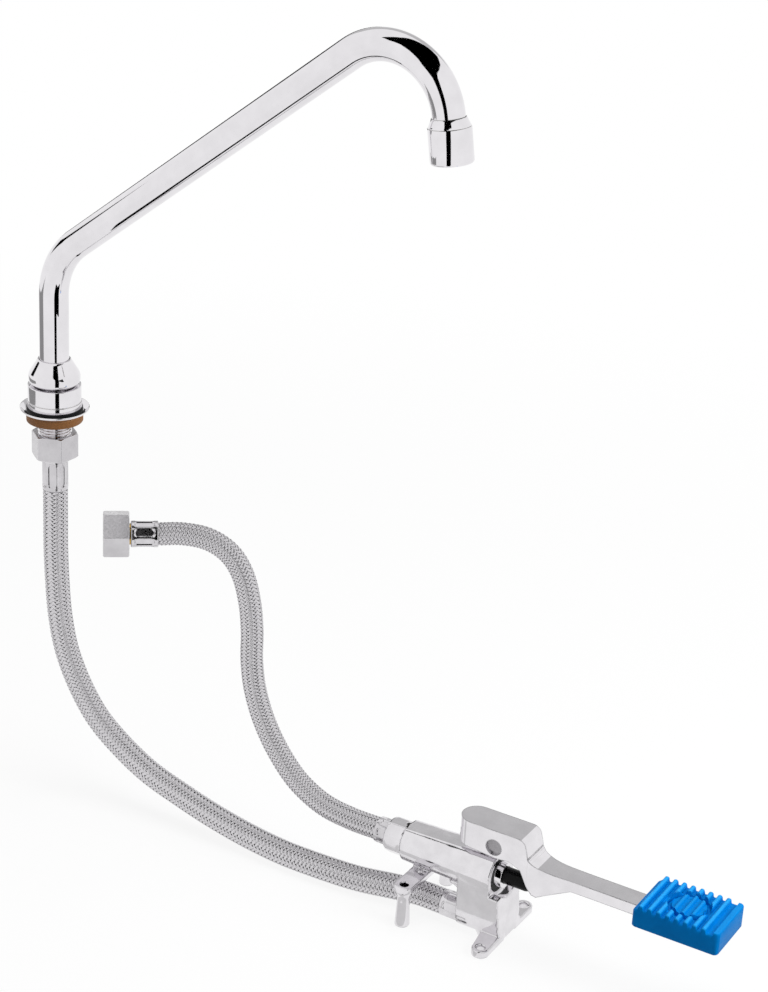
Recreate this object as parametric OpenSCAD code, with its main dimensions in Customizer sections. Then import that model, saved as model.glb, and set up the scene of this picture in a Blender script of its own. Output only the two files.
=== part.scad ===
// Foot pedal faucet: a swivelling spout for a deck hole, two braided hoses, and a floor valve
// that a hinged pedal opens by pushing its stem. The origin is where the shank's axis meets the
// deck, +Z is up, and the spout and the valve lie in the plane y = 0.

/* [Spout] */
// Outside diameter of the spout tube
spout_d = 18; // [16:0.5:20]
// Wall of the spout tube
spout_wall = 1.5; // [1:0.1:2]
// Height of the straight column above the cap nut's lip seat
column_len = 44.5; // [35:0.5:60]
// Centreline radius of the bend above the column
column_bend_r = 47; // [40:1:60]
// Rise of the straight arm above level, in degrees
arm_rise = 38.2; // [32:0.1:44]
// Length of the straight arm between its two bends
arm_len = 232; // [190:1:260]
// Centreline radius of the bend above the outlet
outlet_bend_r = 38; // [32:1:45]
// Outward lean of the outlet from plumb, in degrees
outlet_lean = 9; // [0:1:14]

/* [Outlet] */
// Outside diameter of the aerator housing
aerator_d = 23.8; // [23:0.1:26]
// Length of the aerator housing
aerator_len = 19.5; // [17:0.5:24]
// Length of the cone between the tube and the aerator housing
collar_len = 5; // [4:0.5:8]
// Diameter of the collar's male thread
collar_thread_d = 20.6; // [20:0.1:21]

/* [Spout base] */
// Diameter of the escutcheon's rim
escutcheon_d = 42.4; // [38:0.2:50]
// Sheet thickness of the escutcheon
escutcheon_t = 1.2; // [0.8:0.1:1.6]
// Height of the escutcheon's rim above the deck
escutcheon_h = 3.9; // [3:0.1:4.2]
// Diameter of the black seal under the body
seal_d = 34.4; // [33.8:0.2:35]
// Thickness of the black seal
seal_t = 3.1; // [2.5:0.1:4]
// Diameter of the body's collar
collar_d = 32.7; // [31:0.1:33.2]
// Height of the foot ring below the collar's joint line
foot_ring_h = 3.9; // [3:0.1:5]
// Height of the collar above the joint line
collar_h = 10.3; // [9:0.1:13]
// Depth of the cup in the top of the collar
cup_depth = 3.2; // [2.5:0.1:4]
// Largest diameter of the cap nut
cap_belly_d = 31.6; // [29.6:0.1:33]
// Diameter of the cap nut's skirt
cap_skirt_d = 25; // [24.6:0.1:25.6]
// Height of the cap nut
cap_h = 19; // [18.5:0.1:21]
// Outside diameter of the male pipe threads
pipe_thread_d = 20.955; // [20.9:0.005:21]
// Length of the shank below the deck
shank_len = 23.8; // [20:0.1:30]
// Outside diameter of the fibre washer
fibre_d = 34.7; // [30:0.1:40]
// Thickness of the fibre washer
fibre_t = 5; // [3:0.5:6]

/* [Hose ends] */
// Width across the flats of the hexagonal nuts
nut_af = 25.5; // [25:0.1:30]
// Height of the hexagonal nuts
nut_h = 15.6; // [15:0.1:18]
// Length of thread in the hexagonal nuts
nut_thread_len = 10.6; // [9:0.1:11]
// Outside diameter of the crimped ferrules
ferrule_d = 16; // [15.8:0.1:16.4]
// Length of the crimped ferrules at the valve
ferrule_len = 18.8; // [17:0.1:22]
// Length of the crimped ferrule at the supply hose's free end
supply_ferrule_len = 16.4; // [14:0.1:18]
// Bore of the brass tails
tail_bore_d = 7.6; // [6:0.1:8]

/* [Hoses] */
// Outside diameter of the hose from the valve to the spout
outlet_hose_d = 15.6; // [14:0.1:15.8]
// Outside diameter of the hose from the supply to the valve
supply_hose_d = 14; // [12:0.1:15]

/* [Valve body] */
// Height of the barrel's axis above the floor
barrel_z = 40; // [38:0.5:42]
// Length of the tapered barrel
barrel_len = 62; // [60:0.5:64]
// Diameter of the barrel at its rear end
barrel_rear_d = 25.2; // [24.6:0.1:26]
// Diameter of the barrel at its front end
barrel_front_d = 29.2; // [28.6:0.1:30]
// Length of the faceted neck behind the barrel
neck_len = 13; // [12:0.5:15]
// Width across the flats of the neck
neck_af = 20.6; // [20:0.1:22]
// Width of the block below the barrel
block_w = 27.6; // [27:0.1:30]
// Distance across the floor screw holes
screw_span = 53.6; // [50:0.1:58]
// Distance between the front and the rear floor screw holes
screw_row = 53; // [50:0.5:56]
// Diameter of the floor screw holes
screw_hole_d = 5.2; // [4:0.1:5.4]
// Height of the rear bracket's top face
bracket_top = 28; // [27.5:0.1:28.5]

/* [Valve inner parts] */
// Diameter of the bore behind the seat
chamber_d = 16.8; // [16:0.1:17]
// Diameter of the opening through the seat
orifice_d = 9; // [8:0.1:10]
// Diameter of the stem's rod
rod_d = 5; // [4:0.1:5.4]
// Diameter of the stem's black head
head_d = 10.4; // [10:0.1:10.8]
// Length of the stem's head in front of the gland
head_show = 18.5; // [17.5:0.1:18.6]
// Wire diameter of the return spring
spring_wire = 1; // [0.8:0.1:1.2]

/* [Pedal lever] */
// Height of the pivot's axis above the floor
pivot_z = 62.3; // [62.3:0.1:63]
// Width of the lever's head
lever_w = 20; // [19:0.5:22]
// Width of the lever's arm
arm_w = 13.5; // [11:0.5:15]
// Thickness of the lever's arm
arm_t = 7; // [6:0.1:8]
// Distance from the pivot to the rear end of the head
head_back = 26.2; // [22:0.1:30]
// Height of the head's top above the pivot
head_top = 11.3; // [10.5:0.1:13]
// Diameter of the pivot pin
pin_d = 8; // [7:0.1:8.4]

/* [Pedal pad] */
// Length of the pad along the lever
pad_len = 52.5; // [49:0.5:60]
// Width of the pad
pad_w = 37; // [32:0.5:44]
// Thickness of the pad below its ribs
pad_t = 12; // [11:0.1:14]
// Height of the ribs above the pad
rib_h = 2.8; // [2.4:0.1:3.2]
// Number of round ribs across the pad
rib_count = 8; // [6:1:8]

/* [Hidden] */
$fn = 64;

// Clearances
thread_gap = 0.05;
assembly_gap = 0.05;
hole_gap = 0.15;
running_gap = 0.06;
soft_gap = 0.1;
overrun = 1;

// Spout: the column's foot, the bends and the spigot in the collar
spout_r = spout_d / 2;
spigot_len = 3.5;
tube_sides = 24;
column_bend_steps = 8;
outlet_bend_steps = 16;
rise_turn = 90 - arm_rise;
outlet_turn = 90 + arm_rise - outlet_lean;

// Stack on the deck, upward from the escutcheon's floor
shank_hole_r = pipe_thread_d / 2 + hole_gap;
shank_chamfer = 0.8;
foot_ring_lip = 0.45;
seam = 0.3;
seal_z = escutcheon_t;
foot_z = seal_z + seal_t;
joint_z = foot_z + foot_ring_h;
rim_z = joint_z + collar_h;
cup_floor_z = rim_z - cup_depth;
cup_r = 13.3;
neck_r = 11.5;
neck_show = 9;
neck_top_z = rim_z + neck_show;
cap_gap = 0.7;
cap_bottom_z = cup_floor_z + cap_gap;
cap_top_z = cap_bottom_z + cap_h;
cap_lip = 3.5;
cap_low_share = 0.235;
cap_high_share = 0.49;
cap_turn_share = 0.08;
cap_mouth_wall = 1;
lip_z = cap_top_z - cap_lip;
slip_t = 1;
journal_r = 8.6;
journal_bore_r = journal_r + running_gap;
journal_z = 9;
journal_seat = 0.5;
flange_r = 10.2;
flange_top_z = lip_z - slip_t;
spigot_r = spout_r - spout_wall - assembly_gap;
spigot_h = 7.5;
spigot_top_z = flange_top_z + spigot_h;
waterway_r = 6;
ring_groove_r = 7;
ring_minor_r = 0.8;
ring_groove_w = 1.8;
ring_places = [13.5, 22.5];
tube_foot_z = flange_top_z;
column_top_z = tube_foot_z + column_len;
arm_start = [column_bend_r * (1 - cos(rise_turn)), column_top_z + column_bend_r * sin(rise_turn)];
arm_end = arm_start + arm_len * [cos(arm_rise), sin(arm_rise)];
bend_centre = arm_end + outlet_bend_r * [sin(arm_rise), -cos(arm_rise)];
outlet_top = bend_centre + outlet_bend_r * [cos(outlet_lean), sin(outlet_lean)];

// Outlet
aerator_r = aerator_d / 2;
collar_lip = 0.5;
collar_nose_len = 6;
collar_nose_r = collar_thread_d / 2;
collar_bore_r = spout_r - spout_wall;
housing_bore_r = collar_nose_r + thread_gap;
housing_lip_t = 1.6;
housing_lip_r = 9.3;
housing_edge_r = 1.7;
aerator_seal_t = 1.5;
insert_r = housing_bore_r - soft_gap;
insert_bore_r = 8.6;
diffuser_t = 1.5;
screen_t = 1.2;
screen_hole_r = 1.15;
screen_pitch = 3.2;
diffuser_hole_r = 0.6;
diffuser_ring_r = 6;
diffuser_holes = 12;

// Hose ends: stations above the mouth of a nut
nut_r = nut_af / 2 / cos(30);
nut_bore_r = pipe_thread_d / 2 + thread_gap;
nut_relief_r = 10.9;
nut_floor_t = 1.6;
nut_chamfer = 1.4;
gasket_t = 2;
gasket_r = 10.3;
gasket_hole_r = 5.5;
tail_head_r = 9.5;
tail_neck_r = 6.4;
barb_r = 4.9;
barb_end_gap = 1.5;
barb_rings = 5;
barb_depth = 0.4;
tail_bore_r = tail_bore_d / 2;
ferrule_r = ferrule_d / 2;
ferrule_bore_r = barb_r + hole_gap;
ferrule_flat_share = 0.92;
ferrule_rim_len = 3;
nut_gap = 0.8;
ferrule_z = nut_h + nut_gap;
nut_mouth_z = -13.2;
outlet_nut_turn = 36.7;
supply_nut_turn = 15;

// Routes of the two hoses, end to end
outlet_route = [
    [0, 0, -51], [0, 0, -71], [0, 0, -93], [1, 0, -116], [4, -1, -139], [10, -2, -161],
    [21, -3, -182], [37, -5, -200], [57, -6, -214], [80, -8, -224], [105, -9, -231],
    [131, -11, -236], [157, -12, -240], [184, -13, -242], [211, -13, -242],
    [237, -11, -242], [260, -7, -241], [278, -5, -240], [294, -5, -240]
];
supply_route = [
    [93, -20, -49], [105, -11, -49], [118, -3, -52], [130, 2, -60], [139, 3, -72],
    [145, 2, -88], [148, 1, -106], [149, 0, -125], [152, 0, -144], [159, 0, -163],
    [170, 0, -181], [185, 0, -197], [204, 0, -207], [224, 0, -210], [244, 0, -210]
];
hose_sides = 12;
supply_end = supply_route[0];
supply_dir = [0.8, 0.6, 0];
supply_mouth = supply_end - (ferrule_z + supply_ferrule_len) * supply_dir;
outlet_ferrule_len = nut_mouth_z - ferrule_z - outlet_route[0][2];

// Valve body: stations along x from the front screw holes
outlet_end = outlet_route[len(outlet_route) - 1];
outlet_show = 12;
inlet_show = 8;
barrel_front_x = -4;
barrel_rear_x = barrel_front_x - barrel_len;
inlet_x = barrel_rear_x - neck_len;
barrel_r = barrel_front_d / 2;
barrel_rear_r = barrel_rear_d / 2;
flat_rear_drop = 1.6;
flat_front_drop = 1.4;
neck_chamfer = 2;
shoulder_len = 2.5;
outlet_x = -25;
outlet_y = -5;
outlet_z = 10;
valve_x = outlet_end[0] + outlet_show - outlet_x;
deck_h = outlet_z - outlet_end[2];
block_corner_r = 10;
block_floor_gap = 0.4;
block_front_x = 5;
block_rake = 3.8;
front_top_z = 30;
front_lip_t = 1.4;
web_r = 8;
web_w = 16;
web_bite = 1;
lug_r = 5.5;
lug_t = 5;
lug_root = 9;
lug_front_x = 5.4;
bracket_w = 12;
bracket_t = 4;
bracket_tip = 4.2;
bracket_corner_r = 2.5;
saddle_w = 11;
post_foot_r = 4.6;
post_waist_r = 3.7;
post_head_r = 5.4;
post_flare = 3.5;
inner_hole_r = 2;
inner_hole_y = 9;
screw_hole_r = screw_hole_d / 2;
screw_y = screw_span / 2;
rear_x = -screw_row;
tongue_r = 7;
tongue_w = 9;
pivot_x = -5;

// Hose ends in the valve: the port's counterbore holds a flange and part of a ferrule
port_bore_r = ferrule_r + 0.2;
port_thread_r = tail_neck_r + thread_gap;
flange_t = 1.2;
port_flange_r = 7.8;
outlet_port_depth = ferrule_len - outlet_show + flange_t;
inlet_port_depth = ferrule_len - inlet_show + flange_t;
outlet_thread_len = 9;
inlet_thread_len = 8;
tail_thread_len = 7.5;
passage_r = 3.5;
passage_x = -13;

// Waterway of the valve, from the inlet to the gland
chamber_r = chamber_d / 2;
chamber_x = inlet_x + inlet_port_depth + inlet_thread_len;
seat_ahead = 15.5;
seat_x = chamber_x + seat_ahead;
seat_t = 4;
seat_r = chamber_r + 0.9;
seat_bore_r = seat_r + soft_gap;
orifice_r = orifice_d / 2;
gland_r = 11.3;
gland_bore_r = gland_r + thread_gap;
gland_x = -10;
gland_flange_t = 3.2;
gland_hub_r = 8;
gland_hub_x = 0;
gland_seal_front_x = barrel_front_x - 0.2;
gland_ring_groove_r = 6.9;
stem_ring_minor_r = 0.75;
stem_ring_x = -5;
disc_t = 3;
disc_r = chamber_r - 1.2;
stem_flange_t = 2;
guide_len = 3.5;
rod_r = rod_d / 2;
head_r = head_d / 2;
head_rear_x = -12;
head_socket = 8;
head_bore_r = head_r + running_gap;
spring_r = 7;
spring_turns = 4.5;
spring_sides = 6;
spring_steps = 12;
spring_front_x = seat_x - disc_t - stem_flange_t;

// Lever: its outline is in the pivot's frame, forward and up from the pivot
nose_x = 28.6;
nose_drop = 24.3;
groove_x = 22.4;
shoulder_r = 5.5;
shoulder_x = 15.3;
arm_top_drop = 6.3;
arm_bottom_drop = arm_top_drop + arm_t;
arm_root_x = 42.8;
web_root_x = 49.5;
nose_face_shares = [[0.9, -0.962], [0.818, -0.826], [0.626, -0.375], [0.37, -0.247], [0.05, -0.284]];
head_under = 4.6;
groove_r = 0.45;
lever_r = lever_w / 2;
arm_r = arm_w / 2;
waist_x = 61;
waist_pull = 31;
plate_x = 97;
plate_len = 44;
plate_w = 26;
slot_gap = 0.35;
slot_back = 12;
slot_front = 14;
slot_roof = 7.7;
pin_r = pin_d / 2;
pin_head_r = 4.9;
pin_head_t = 1;
pin_recess = 1.5;
pin_bore_r = pin_r + thread_gap;
pin_cheek_r = pin_head_r + soft_gap;

// Pad: it is moulded round the plate at the end of the lever
pad_x = plate_x - (pad_len - plate_len) / 2;
pad_bottom_drop = arm_bottom_drop - 0.9;
plate_lift = 1.9;
pad_corner_r = 2.5;
rib_r = 1.5;
rib_margin = 4.8;
rib_pitch = 5.45;
rib_side = 0.4;
rib_step = 1;
end_rib_w = 4;
band_drop = 1.4;
end_rib_drop = 0.7;
ring_r = 12.4;
panel_r = 10.2;
panel_rise = 0.9;
panel_groove = 0.7;
panel_rib_drop = 0.6;

// Points of an arc, from one angle to another
function arc(centre, r, from, to, n) =
    [for (i = [0:n]) centre + r * [cos(from + (to - from) * i / n), sin(from + (to - from) * i / n)]];

// Points of a curve that leaves a towards b and reaches c from b
function bend(a, b, c, n) =
    [for (i = [0:n]) let (t = i / n) (1 - t) * (1 - t) * a + 2 * t * (1 - t) * b + t * t * c];

function unit(v) = v / norm(v);

// Direction of a route at its point i
function heading(path, i) =
    i == 0 ? unit(path[1] - path[0])
    : i == len(path) - 1 ? unit(path[i] - path[i - 1])
    : unit(unit(path[i + 1] - path[i]) + unit(path[i] - path[i - 1]));

// Ring of a swept tube, square to the route
function ring(path, i, r, sides, side_dir) =
    let (t = heading(path, i), u = unit(cross(t, side_dir)), v = cross(t, u))
    [for (k = [0:sides - 1]) path[i] + r * (u * cos(360 * k / sides) + v * sin(360 * k / sides))];

// Tube swept along a route; side_dir is a direction that the route never takes
module swept(path, r, sides, side_dir) {
    n = len(path);
    points = [for (i = [0:n - 1]) each ring(path, i, r, sides, side_dir)];
    walls = [for (i = [0:n - 2], k = [0:sides - 1])
        let (a = i * sides + k, b = i * sides + (k + 1) % sides)
        each [[a, b, b + sides], [a, b + sides, a + sides]]];
    start_cap = [for (k = [1:sides - 2]) [0, k + 1, k]];
    last = (n - 1) * sides;
    end_cap = [for (k = [1:sides - 2]) [last, last + k, last + k + 1]];
    polyhedron(points = points, faces = concat(walls, start_cap, end_cap), convexity = 10);
}

// Hollow tube swept along a route
module swept_wall(path, r, inner_r, sides, side_dir) {
    n = len(path);
    outer = [for (i = [0:n - 1]) each ring(path, i, r, sides, side_dir)];
    inner = [for (i = [0:n - 1]) each ring(path, i, inner_r, sides, side_dir)];
    walls = [for (i = [0:n - 2], k = [0:sides - 1])
        let (a = i * sides + k, b = i * sides + (k + 1) % sides)
        each [[a, b, b + sides], [a, b + sides, a + sides]]];
    inside = [for (f = walls) [f[0] + n * sides, f[2] + n * sides, f[1] + n * sides]];
    last = (n - 1) * sides;
    ends = [for (k = [0:sides - 1]) let (m = (k + 1) % sides, far = n * sides) each [
        [k, k + far, m + far], [k, m + far, m],
        [last + k, last + m, last + m + far], [last + k, last + m + far, last + k + far]
    ]];
    polyhedron(points = concat(outer, inner), faces = concat(walls, inside, ends), convexity = 10);
}

// Ring between two radii, upward from z = 0
module washer(outer_r, inner_r, h) {
    difference() {
        cylinder(h = h, r = outer_r);
        translate([0, 0, -overrun]) cylinder(h = h + 2 * overrun, r = inner_r);
    }
}

module torus(r, minor_r) {
    rotate_extrude() translate([r, 0]) circle(r = minor_r, $fn = 32);
}

// Flat plate from an outline in x and z, centred on y = 0
module side_plate(outline, w) {
    translate([0, w / 2, 0]) rotate([90, 0, 0]) linear_extrude(w) polygon(outline);
}

// Rod along +X from x, on the line y, z
module x_rod(x, y, z, len, r) {
    translate([x, y, z]) rotate([0, 90, 0]) cylinder(h = len, r = r);
}

// Rectangle with rounded corners, centred
module rounded_rect(l, w, r) {
    square([l - 2 * r, w], center = true);
    square([l, w - 2 * r], center = true);
    for (sx = [-1, 1], sy = [-1, 1])
        translate([sx * (l / 2 - r), sy * (w / 2 - r)]) circle(r = r);
}

// Frame at the end of the spout's bend: the water leaves along -Z
module at_outlet() {
    translate([outlet_top[0], 0, outlet_top[1]]) rotate([0, -outlet_lean, 0]) children();
}

// Centreline of the spout in x and z, from the column's foot to the spigot's end
function spout_line() =
    let (column_bend = [column_bend_r, column_top_z], down = [sin(outlet_lean), -cos(outlet_lean)])
    concat(
        [[0, tube_foot_z]],
        arc(column_bend, column_bend_r, 180, 180 - rise_turn, column_bend_steps),
        arc(bend_centre, outlet_bend_r, outlet_lean + outlet_turn, outlet_lean, outlet_bend_steps),
        [outlet_top + spigot_len * down]
    );

module spout_tube() {
    to_xyz = [for (p = spout_line()) [p[0], 0, p[1]]];
    color("silver") swept_wall(to_xyz, spout_r, spout_r - spout_wall, tube_sides, [0, 1, 0]);
}

module outlet_collar() {
    socket_r = spout_r + assembly_gap;
    color("silver") at_outlet() rotate_extrude() polygon([
        [socket_r, 0], [spout_r + collar_lip, 0], [aerator_r - collar_lip / 2, -collar_len],
        [collar_nose_r, -collar_len], [collar_nose_r, -collar_len - collar_nose_len],
        [collar_bore_r, -collar_len - collar_nose_len], [collar_bore_r, -spigot_len],
        [socket_r, -spigot_len]
    ]);
}

module aerator_housing() {
    bottom = -collar_len - aerator_len;
    edge = arc([aerator_r - housing_edge_r, bottom + housing_edge_r], housing_edge_r, 0, -90, 8);
    color("silver") at_outlet() rotate_extrude() polygon(concat(
        [[housing_bore_r, bottom + housing_lip_t], [housing_bore_r, -collar_len],
         [aerator_r, -collar_len]],
        edge,
        [[housing_lip_r, bottom], [housing_lip_r, bottom + housing_lip_t]]
    ));
}

// Flow straightener: a diffuser plate above, a rim, and a screen of round holes below
module aerator_insert() {
    bottom = -collar_len - aerator_len + housing_lip_t;
    top = -collar_len - collar_nose_len - aerator_seal_t;
    color("dimgray") at_outlet() difference() {
        translate([0, 0, bottom]) cylinder(h = top - bottom, r = insert_r);
        translate([0, 0, bottom + screen_t])
            cylinder(h = top - bottom - screen_t - diffuser_t, r = insert_bore_r);
        for (ring_no = [0:2], k = [0:max(0, 6 * ring_no - 1)])
            rotate([0, 0, ring_no == 0 ? 0 : 60 * k / ring_no])
                translate([ring_no * screen_pitch, 0, bottom - overrun])
                    cylinder(h = screen_t + 2 * overrun, r = screen_hole_r, $fn = 24);
        for (k = [0:diffuser_holes - 1])
            rotate([0, 0, 360 * k / diffuser_holes])
                translate([diffuser_ring_r, 0, top - diffuser_t - overrun])
                    cylinder(h = diffuser_t + 2 * overrun, r = diffuser_hole_r, $fn = 24);
    }
}

module aerator_seal() {
    color("black") at_outlet()
        translate([0, 0, -collar_len - collar_nose_len - aerator_seal_t])
            washer(insert_r, collar_bore_r, aerator_seal_t);
}

// Turned tail that carries the spout: a spigot in the tube, a flange and a grooved journal
module spout_tail() {
    color("goldenrod") difference() {
        union() {
            translate([0, 0, journal_z]) cylinder(h = neck_top_z - journal_z, r = journal_r);
            translate([0, 0, neck_top_z]) cylinder(h = flange_top_z - neck_top_z, r = flange_r);
            translate([0, 0, flange_top_z])
                cylinder(h = spigot_top_z - flange_top_z, r = spigot_r);
        }
        translate([0, 0, journal_z - overrun])
            cylinder(h = spigot_top_z - journal_z + 2 * overrun, r = waterway_r);
        for (z = ring_places) translate([0, 0, z - ring_groove_w / 2])
            washer(journal_r + overrun, ring_groove_r, ring_groove_w);
    }
}

module spout_o_rings() {
    color("black") for (z = ring_places) translate([0, 0, z])
        torus(journal_r - ring_minor_r + running_gap / 2, ring_minor_r);
}

module slip_ring() {
    color("white") translate([0, 0, flange_top_z])
        washer(flange_r, spout_r + soft_gap, slip_t);
}

// Domed nut that holds the spout down on the neck
module spout_cap_nut() {
    belly_r = cap_belly_d / 2;
    skirt_r = cap_skirt_d / 2;
    top_r = spout_r + cap_mouth_wall;
    low_z = cap_bottom_z + cap_low_share * cap_h;
    high_z = cap_bottom_z + cap_high_share * cap_h;
    turn = cap_turn_share * cap_h;
    low_side = unit([belly_r - skirt_r, low_z - rim_z]);
    high_side = unit([top_r - belly_r, cap_top_z - high_z]);
    color("silver") rotate_extrude() polygon(concat(
        [[neck_r + thread_gap, cap_bottom_z], [skirt_r, cap_bottom_z], [skirt_r, rim_z]],
        bend([belly_r, low_z] - turn * low_side, [belly_r, low_z], [belly_r, low_z + turn], 4),
        bend([belly_r, high_z - turn], [belly_r, high_z], [belly_r, high_z] + turn * high_side, 4),
        [[top_r, cap_top_z], [spout_r + hole_gap, cap_top_z], [spout_r + hole_gap, lip_z],
         [neck_r + thread_gap, lip_z]]
    ));
}

// Deck body: threaded shank, foot ring, collar with a cup, and the neck for the cap nut
module base_body() {
    collar_r = collar_d / 2;
    shank_r = pipe_thread_d / 2;
    color("silver") rotate_extrude() polygon([
        [waterway_r, -shank_len], [shank_r - shank_chamfer, -shank_len],
        [shank_r, -shank_len + shank_chamfer], [shank_r, foot_z],
        [collar_r + foot_ring_lip, foot_z], [collar_r + foot_ring_lip, joint_z - seam],
        [collar_r - seam, joint_z - seam], [collar_r - seam, joint_z], [collar_r, joint_z],
        [collar_r, rim_z - seam], [collar_r - seam, rim_z], [cup_r, rim_z],
        [cup_r, cup_floor_z], [neck_r, cup_floor_z], [neck_r, neck_top_z],
        [journal_bore_r, neck_top_z], [journal_bore_r, journal_z - journal_seat],
        [waterway_r, journal_z - journal_seat]
    ]);
}

module deck_seal() {
    color("black") translate([0, 0, seal_z]) washer(seal_d / 2, shank_hole_r, seal_t);
}

// Pressed dish under the seal
module escutcheon() {
    rim_r = escutcheon_d / 2;
    floor_r = seal_d / 2 + soft_gap;
    outside = bend([floor_r - escutcheon_t, 0], [floor_r + escutcheon_t, 0],
        [rim_r, escutcheon_h - 0.75 * escutcheon_t], 8);
    inside = bend([rim_r, escutcheon_h], [floor_r + escutcheon_t, escutcheon_t],
        [floor_r, escutcheon_t], 8);
    color("silver") rotate_extrude() polygon(concat(
        [[shank_hole_r, escutcheon_t], [shank_hole_r, 0]], outside, inside));
}

module clamp_washer() {
    color("sienna") translate([0, 0, -fibre_t]) washer(fibre_d / 2, shank_hole_r, fibre_t);
}

// Hexagonal union nut, mouth at z = 0, hose upward
module union_nut(turn) {
    difference() {
        intersection() {
            rotate([0, 0, turn]) cylinder(h = nut_h, r = nut_r, $fn = 6);
            rotate_extrude() polygon([
                [0, 0], [nut_r - nut_chamfer, 0], [nut_r, nut_chamfer / 2],
                [nut_r, nut_h - nut_chamfer / 2], [nut_r - nut_chamfer, nut_h], [0, nut_h]
            ]);
        }
        translate([0, 0, -overrun]) cylinder(h = nut_thread_len + overrun, r = nut_bore_r);
        translate([0, 0, nut_thread_len])
            cylinder(h = nut_h - nut_floor_t - nut_thread_len, r = nut_relief_r);
        translate([0, 0, nut_h - nut_floor_t - overrun])
            cylinder(h = nut_floor_t + 2 * overrun, r = tail_neck_r + thread_gap);
    }
}

module union_gasket() {
    translate([0, 0, nut_thread_len]) washer(gasket_r, gasket_hole_r, gasket_t);
}

// Barbed end of a tail, from z = 0 up to len
module barb(len) {
    step = (len - barb_end_gap) / barb_rings;
    rotate_extrude() polygon(concat(
        [[0, 0]],
        [for (i = [0:barb_rings - 1]) each [
            [barb_r, i * step], [barb_r - barb_depth, (i + 1) * step]
        ]],
        [[0, barb_rings * step]]
    ));
}

// Tail of a union: its head sits on the gasket and its barb is inside the ferrule
module union_tail(sleeve_len) {
    head_z = nut_thread_len + gasket_t;
    neck_z = nut_h - nut_floor_t;
    difference() {
        union() {
            translate([0, 0, head_z]) cylinder(h = neck_z - head_z, r = tail_head_r);
            translate([0, 0, neck_z]) cylinder(h = ferrule_z - neck_z, r = tail_neck_r);
            translate([0, 0, ferrule_z]) barb(sleeve_len);
        }
        translate([0, 0, head_z - overrun])
            cylinder(h = ferrule_z + sleeve_len, r = tail_bore_r);
    }
}

// Crimped sleeve, from z = 0 to its length, with eight pressed flats between two rims
module ferrule(length) {
    waist_len = length - 2 * ferrule_rim_len;
    difference() {
        union() {
            cylinder(h = ferrule_rim_len, r = ferrule_r);
            translate([0, 0, ferrule_rim_len])
                cylinder(h = waist_len, r = ferrule_r * ferrule_flat_share / cos(22.5), $fn = 8);
            translate([0, 0, ferrule_rim_len + waist_len])
                cylinder(h = ferrule_rim_len, r = ferrule_r);
        }
        translate([0, 0, -overrun]) cylinder(h = length + 2 * overrun, r = ferrule_bore_r);
    }
}

// Frame at the mouth of the nut under the shank
module at_shank_end() {
    translate([0, 0, nut_mouth_z]) rotate([180, 0, 0]) children();
}

// Frame at the mouth of the free supply nut
module at_supply_end() {
    translate(supply_mouth) rotate([0, 0, atan2(supply_dir[1], supply_dir[0])])
        rotate([0, 90, 0]) children();
}

// Frames at the ports of the valve: +Z leaves the valve
module at_outlet_port() {
    at_valve() translate([outlet_x, outlet_y, outlet_z]) rotate([0, -90, 0]) children();
}

module at_inlet_port() {
    at_valve() translate([inlet_x, 0, barrel_z]) rotate([0, -90, 0]) children();
}

// Valve frame: x from the front screw holes, z from the floor
module at_valve() {
    translate([valve_x, 0, -deck_h]) children();
}

// Screwed tail in a port whose ferrule stands show out of the face
module port_tail(show, depth) {
    difference() {
        union() {
            translate([0, 0, -depth - tail_thread_len])
                cylinder(h = tail_thread_len, r = tail_neck_r);
            translate([0, 0, -depth]) cylinder(h = flange_t, r = port_flange_r);
            translate([0, 0, flange_t - depth]) barb(ferrule_len);
        }
        translate([0, 0, -depth - tail_thread_len - overrun])
            cylinder(h = tail_thread_len + depth + show + 2 * overrun, r = tail_bore_r);
    }
}

module outlet_hose_nut() { color("silver") at_shank_end() union_nut(outlet_nut_turn); }
module outlet_hose_gasket() { color("black") at_shank_end() union_gasket(); }
module outlet_hose_tail() {
    color("goldenrod") at_shank_end() union_tail(outlet_ferrule_len);
}
module outlet_hose_ferrule() {
    color("silver") at_shank_end() translate([0, 0, ferrule_z]) ferrule(outlet_ferrule_len);
}
module outlet_hose() {
    color("lightgray") swept(outlet_route, outlet_hose_d / 2, hose_sides, [0, 1, 0]);
}
module outlet_valve_ferrule() {
    color("silver") at_outlet_port() translate([0, 0, outlet_show - ferrule_len])
        ferrule(ferrule_len);
}
module outlet_valve_tail() {
    color("goldenrod") at_outlet_port() port_tail(outlet_show, outlet_port_depth);
}
module supply_nut() { color("silver") at_supply_end() union_nut(supply_nut_turn); }
module supply_gasket() { color("black") at_supply_end() union_gasket(); }
module supply_tail() {
    color("goldenrod") at_supply_end() union_tail(supply_ferrule_len);
}
module supply_ferrule() {
    color("silver") at_supply_end() translate([0, 0, ferrule_z]) ferrule(supply_ferrule_len);
}
module supply_hose() {
    color("lightgray") swept(supply_route, supply_hose_d / 2, hose_sides, [0, 1, 0]);
}
module inlet_valve_ferrule() {
    color("silver") at_inlet_port() translate([0, 0, inlet_show - ferrule_len])
        ferrule(ferrule_len);
}
module inlet_valve_tail() {
    color("goldenrod") at_inlet_port() port_tail(inlet_show, inlet_port_depth);
}

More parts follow.
